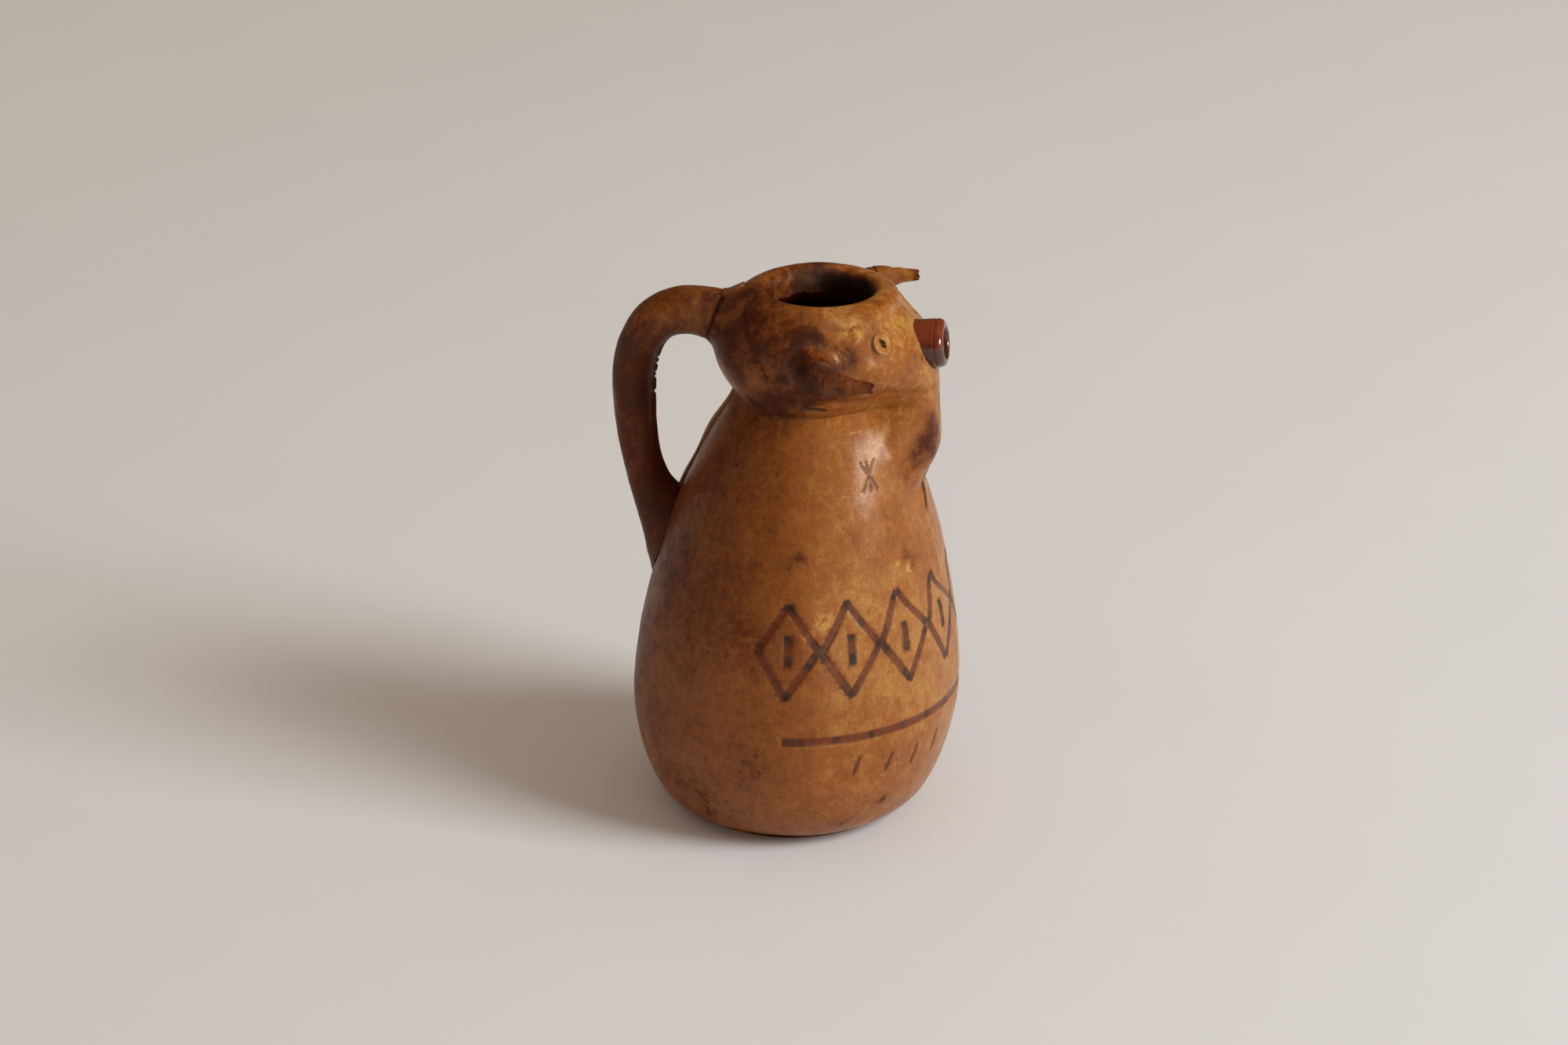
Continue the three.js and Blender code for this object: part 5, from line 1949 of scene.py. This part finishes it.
def make_stage():
    """Floor, camera and light. The window lights the pitcher, and only its pane is mirrored in it."""
    scene = bpy.context.scene
    setup = scene.pitcher_stage
    bm = bmesh.new()
    bmesh.ops.create_circle(bm, cap_ends=True, segments=96, radius=FLOOR_R)
    floor = on_stage("floor", mesh_from(bm, "floor"))
    floor.data.materials.append(floor_finish())

    right = Vector((math.cos(setup.azimuth), math.sin(setup.azimuth), 0))
    back = Vector((math.sin(setup.azimuth), -math.cos(setup.azimuth), 0)) * math.cos(setup.elevation)
    back.z = math.sin(setup.elevation)
    up = back.cross(right)
    camera = on_stage("camera", bpy.data.cameras.new("camera"))
    camera.data.lens = setup.lens
    camera.data.sensor_width = 36
    camera.location = CAMERA_TARGET + setup.distance * back
    look_at(camera, CAMERA_TARGET - AIM_LEFT * right + AIM_UP * up)
    scene.camera = camera

    window = area_light("window", WINDOW_SIZE, setup.key_watts, WINDOW_TINT, WINDOW_WAY)
    window.visible_glossy = False
    pane = area_light("pane", PANE_SIZE, setup.pane_watts, PANE_TINT, PANE_WAY)
    pane.visible_diffuse = False

    world = bpy.data.worlds.new("studio")
    world.use_nodes = True
    scene.world = world
    n = Nodes(world.node_tree)
    glossy = n.add("ShaderNodeLightPath").outputs["Is Glossy Ray"]
    strength = n.spread(glossy, 0, 1, setup.ambient, SKY_MIRRORED * setup.ambient)
    n.feed(world.node_tree.nodes["Background"].inputs, {"Color": SKY_TINT, "Strength": strength})
    scene.view_settings.view_transform = "Standard"


# Operators and panel


class PITCHER_OT_covers(bpy.types.Operator):
    """Model the two moulded halves of the hide"""

    bl_idname = "pitcher.covers"
    bl_label = "Covers"

    def execute(self, context):
        for side in (LEFT, RIGHT):
            make_cover(side)
        return {"FINISHED"}


class PITCHER_OT_horn_tips(bpy.types.Operator):
    """Model the rolled tips of the horns"""

    bl_idname = "pitcher.horn_tips"
    bl_label = "Horn tips"

    def execute(self, context):
        for side in (LEFT, RIGHT):
            make_horn_tip(side)
        return {"FINISHED"}


class PITCHER_OT_eyes(bpy.types.Operator):
    """Model the eye plugs"""

    bl_idname = "pitcher.eyes"
    bl_label = "Eyes"

    def execute(self, context):
        for side in (LEFT, RIGHT):
            make_eye(side)
        return {"FINISHED"}


class PITCHER_OT_handle(bpy.types.Operator):
    """Model the handle's sleeve and its tab"""

    bl_idname = "pitcher.handle"
    bl_label = "Handle"

    def execute(self, context):
        make_handle_sleeve()
        make_handle_tab()
        return {"FINISHED"}


class PITCHER_OT_earthenware(bpy.types.Operator):
    """Model the spout and the liner, and glaze the handle's core"""

    bl_idname = "pitcher.earthenware"
    bl_label = "Earthenware"

    def execute(self, context):
        make_spout()
        make_liner()
        finish_core()
        return {"FINISHED"}


class PITCHER_OT_base_disc(bpy.types.Operator):
    """Model the disc under the base"""

    bl_idname = "pitcher.base_disc"
    bl_label = "Base disc"

    def execute(self, context):
        make_base_disc()
        return {"FINISHED"}


class PITCHER_OT_stage(bpy.types.Operator):
    """Set up the floor, light and camera"""

    bl_idname = "pitcher.stage"
    bl_label = "Stage"

    def execute(self, context):
        make_stage()
        return {"FINISHED"}


OPERATORS = (
    PITCHER_OT_covers,
    PITCHER_OT_horn_tips,
    PITCHER_OT_eyes,
    PITCHER_OT_handle,
    PITCHER_OT_earthenware,
    PITCHER_OT_base_disc,
    PITCHER_OT_stage,
)
GROUPS = {"pitcher_hide": PitcherHide, "pitcher_glaze": PitcherGlaze, "pitcher_stage": PitcherStage}


class PITCHER_PT_panel(bpy.types.Panel):
    """Sizes, colours and steps of the pitcher"""

    bl_label = "Pitcher"
    bl_space_type = "VIEW_3D"
    bl_region_type = "UI"
    bl_category = "Pitcher"

    def draw(self, context):
        for operator in OPERATORS:
            self.layout.operator(operator.bl_idname)
        for name, group in GROUPS.items():
            box = self.layout.box()
            for key in group.__annotations__:
                box.prop(getattr(context.scene, name), key)


def register():
    for kind in (*GROUPS.values(), *OPERATORS, PITCHER_PT_panel):
        bpy.utils.register_class(kind)
    for name, group in GROUPS.items():
        setattr(bpy.types.Scene, name, PointerProperty(type=group))


def unregister():
    for name in GROUPS:
        delattr(bpy.types.Scene, name)
    for kind in (PITCHER_PT_panel, *reversed(OPERATORS), *GROUPS.values()):
        bpy.utils.unregister_class(kind)


def main():
    register()
    bpy.ops.pitcher.covers()
    bpy.ops.pitcher.horn_tips()
    bpy.ops.pitcher.eyes()
    bpy.ops.pitcher.handle()
    bpy.ops.pitcher.earthenware()
    bpy.ops.pitcher.base_disc()
    bpy.ops.pitcher.stage()


if __name__ == "__main__":
    main()
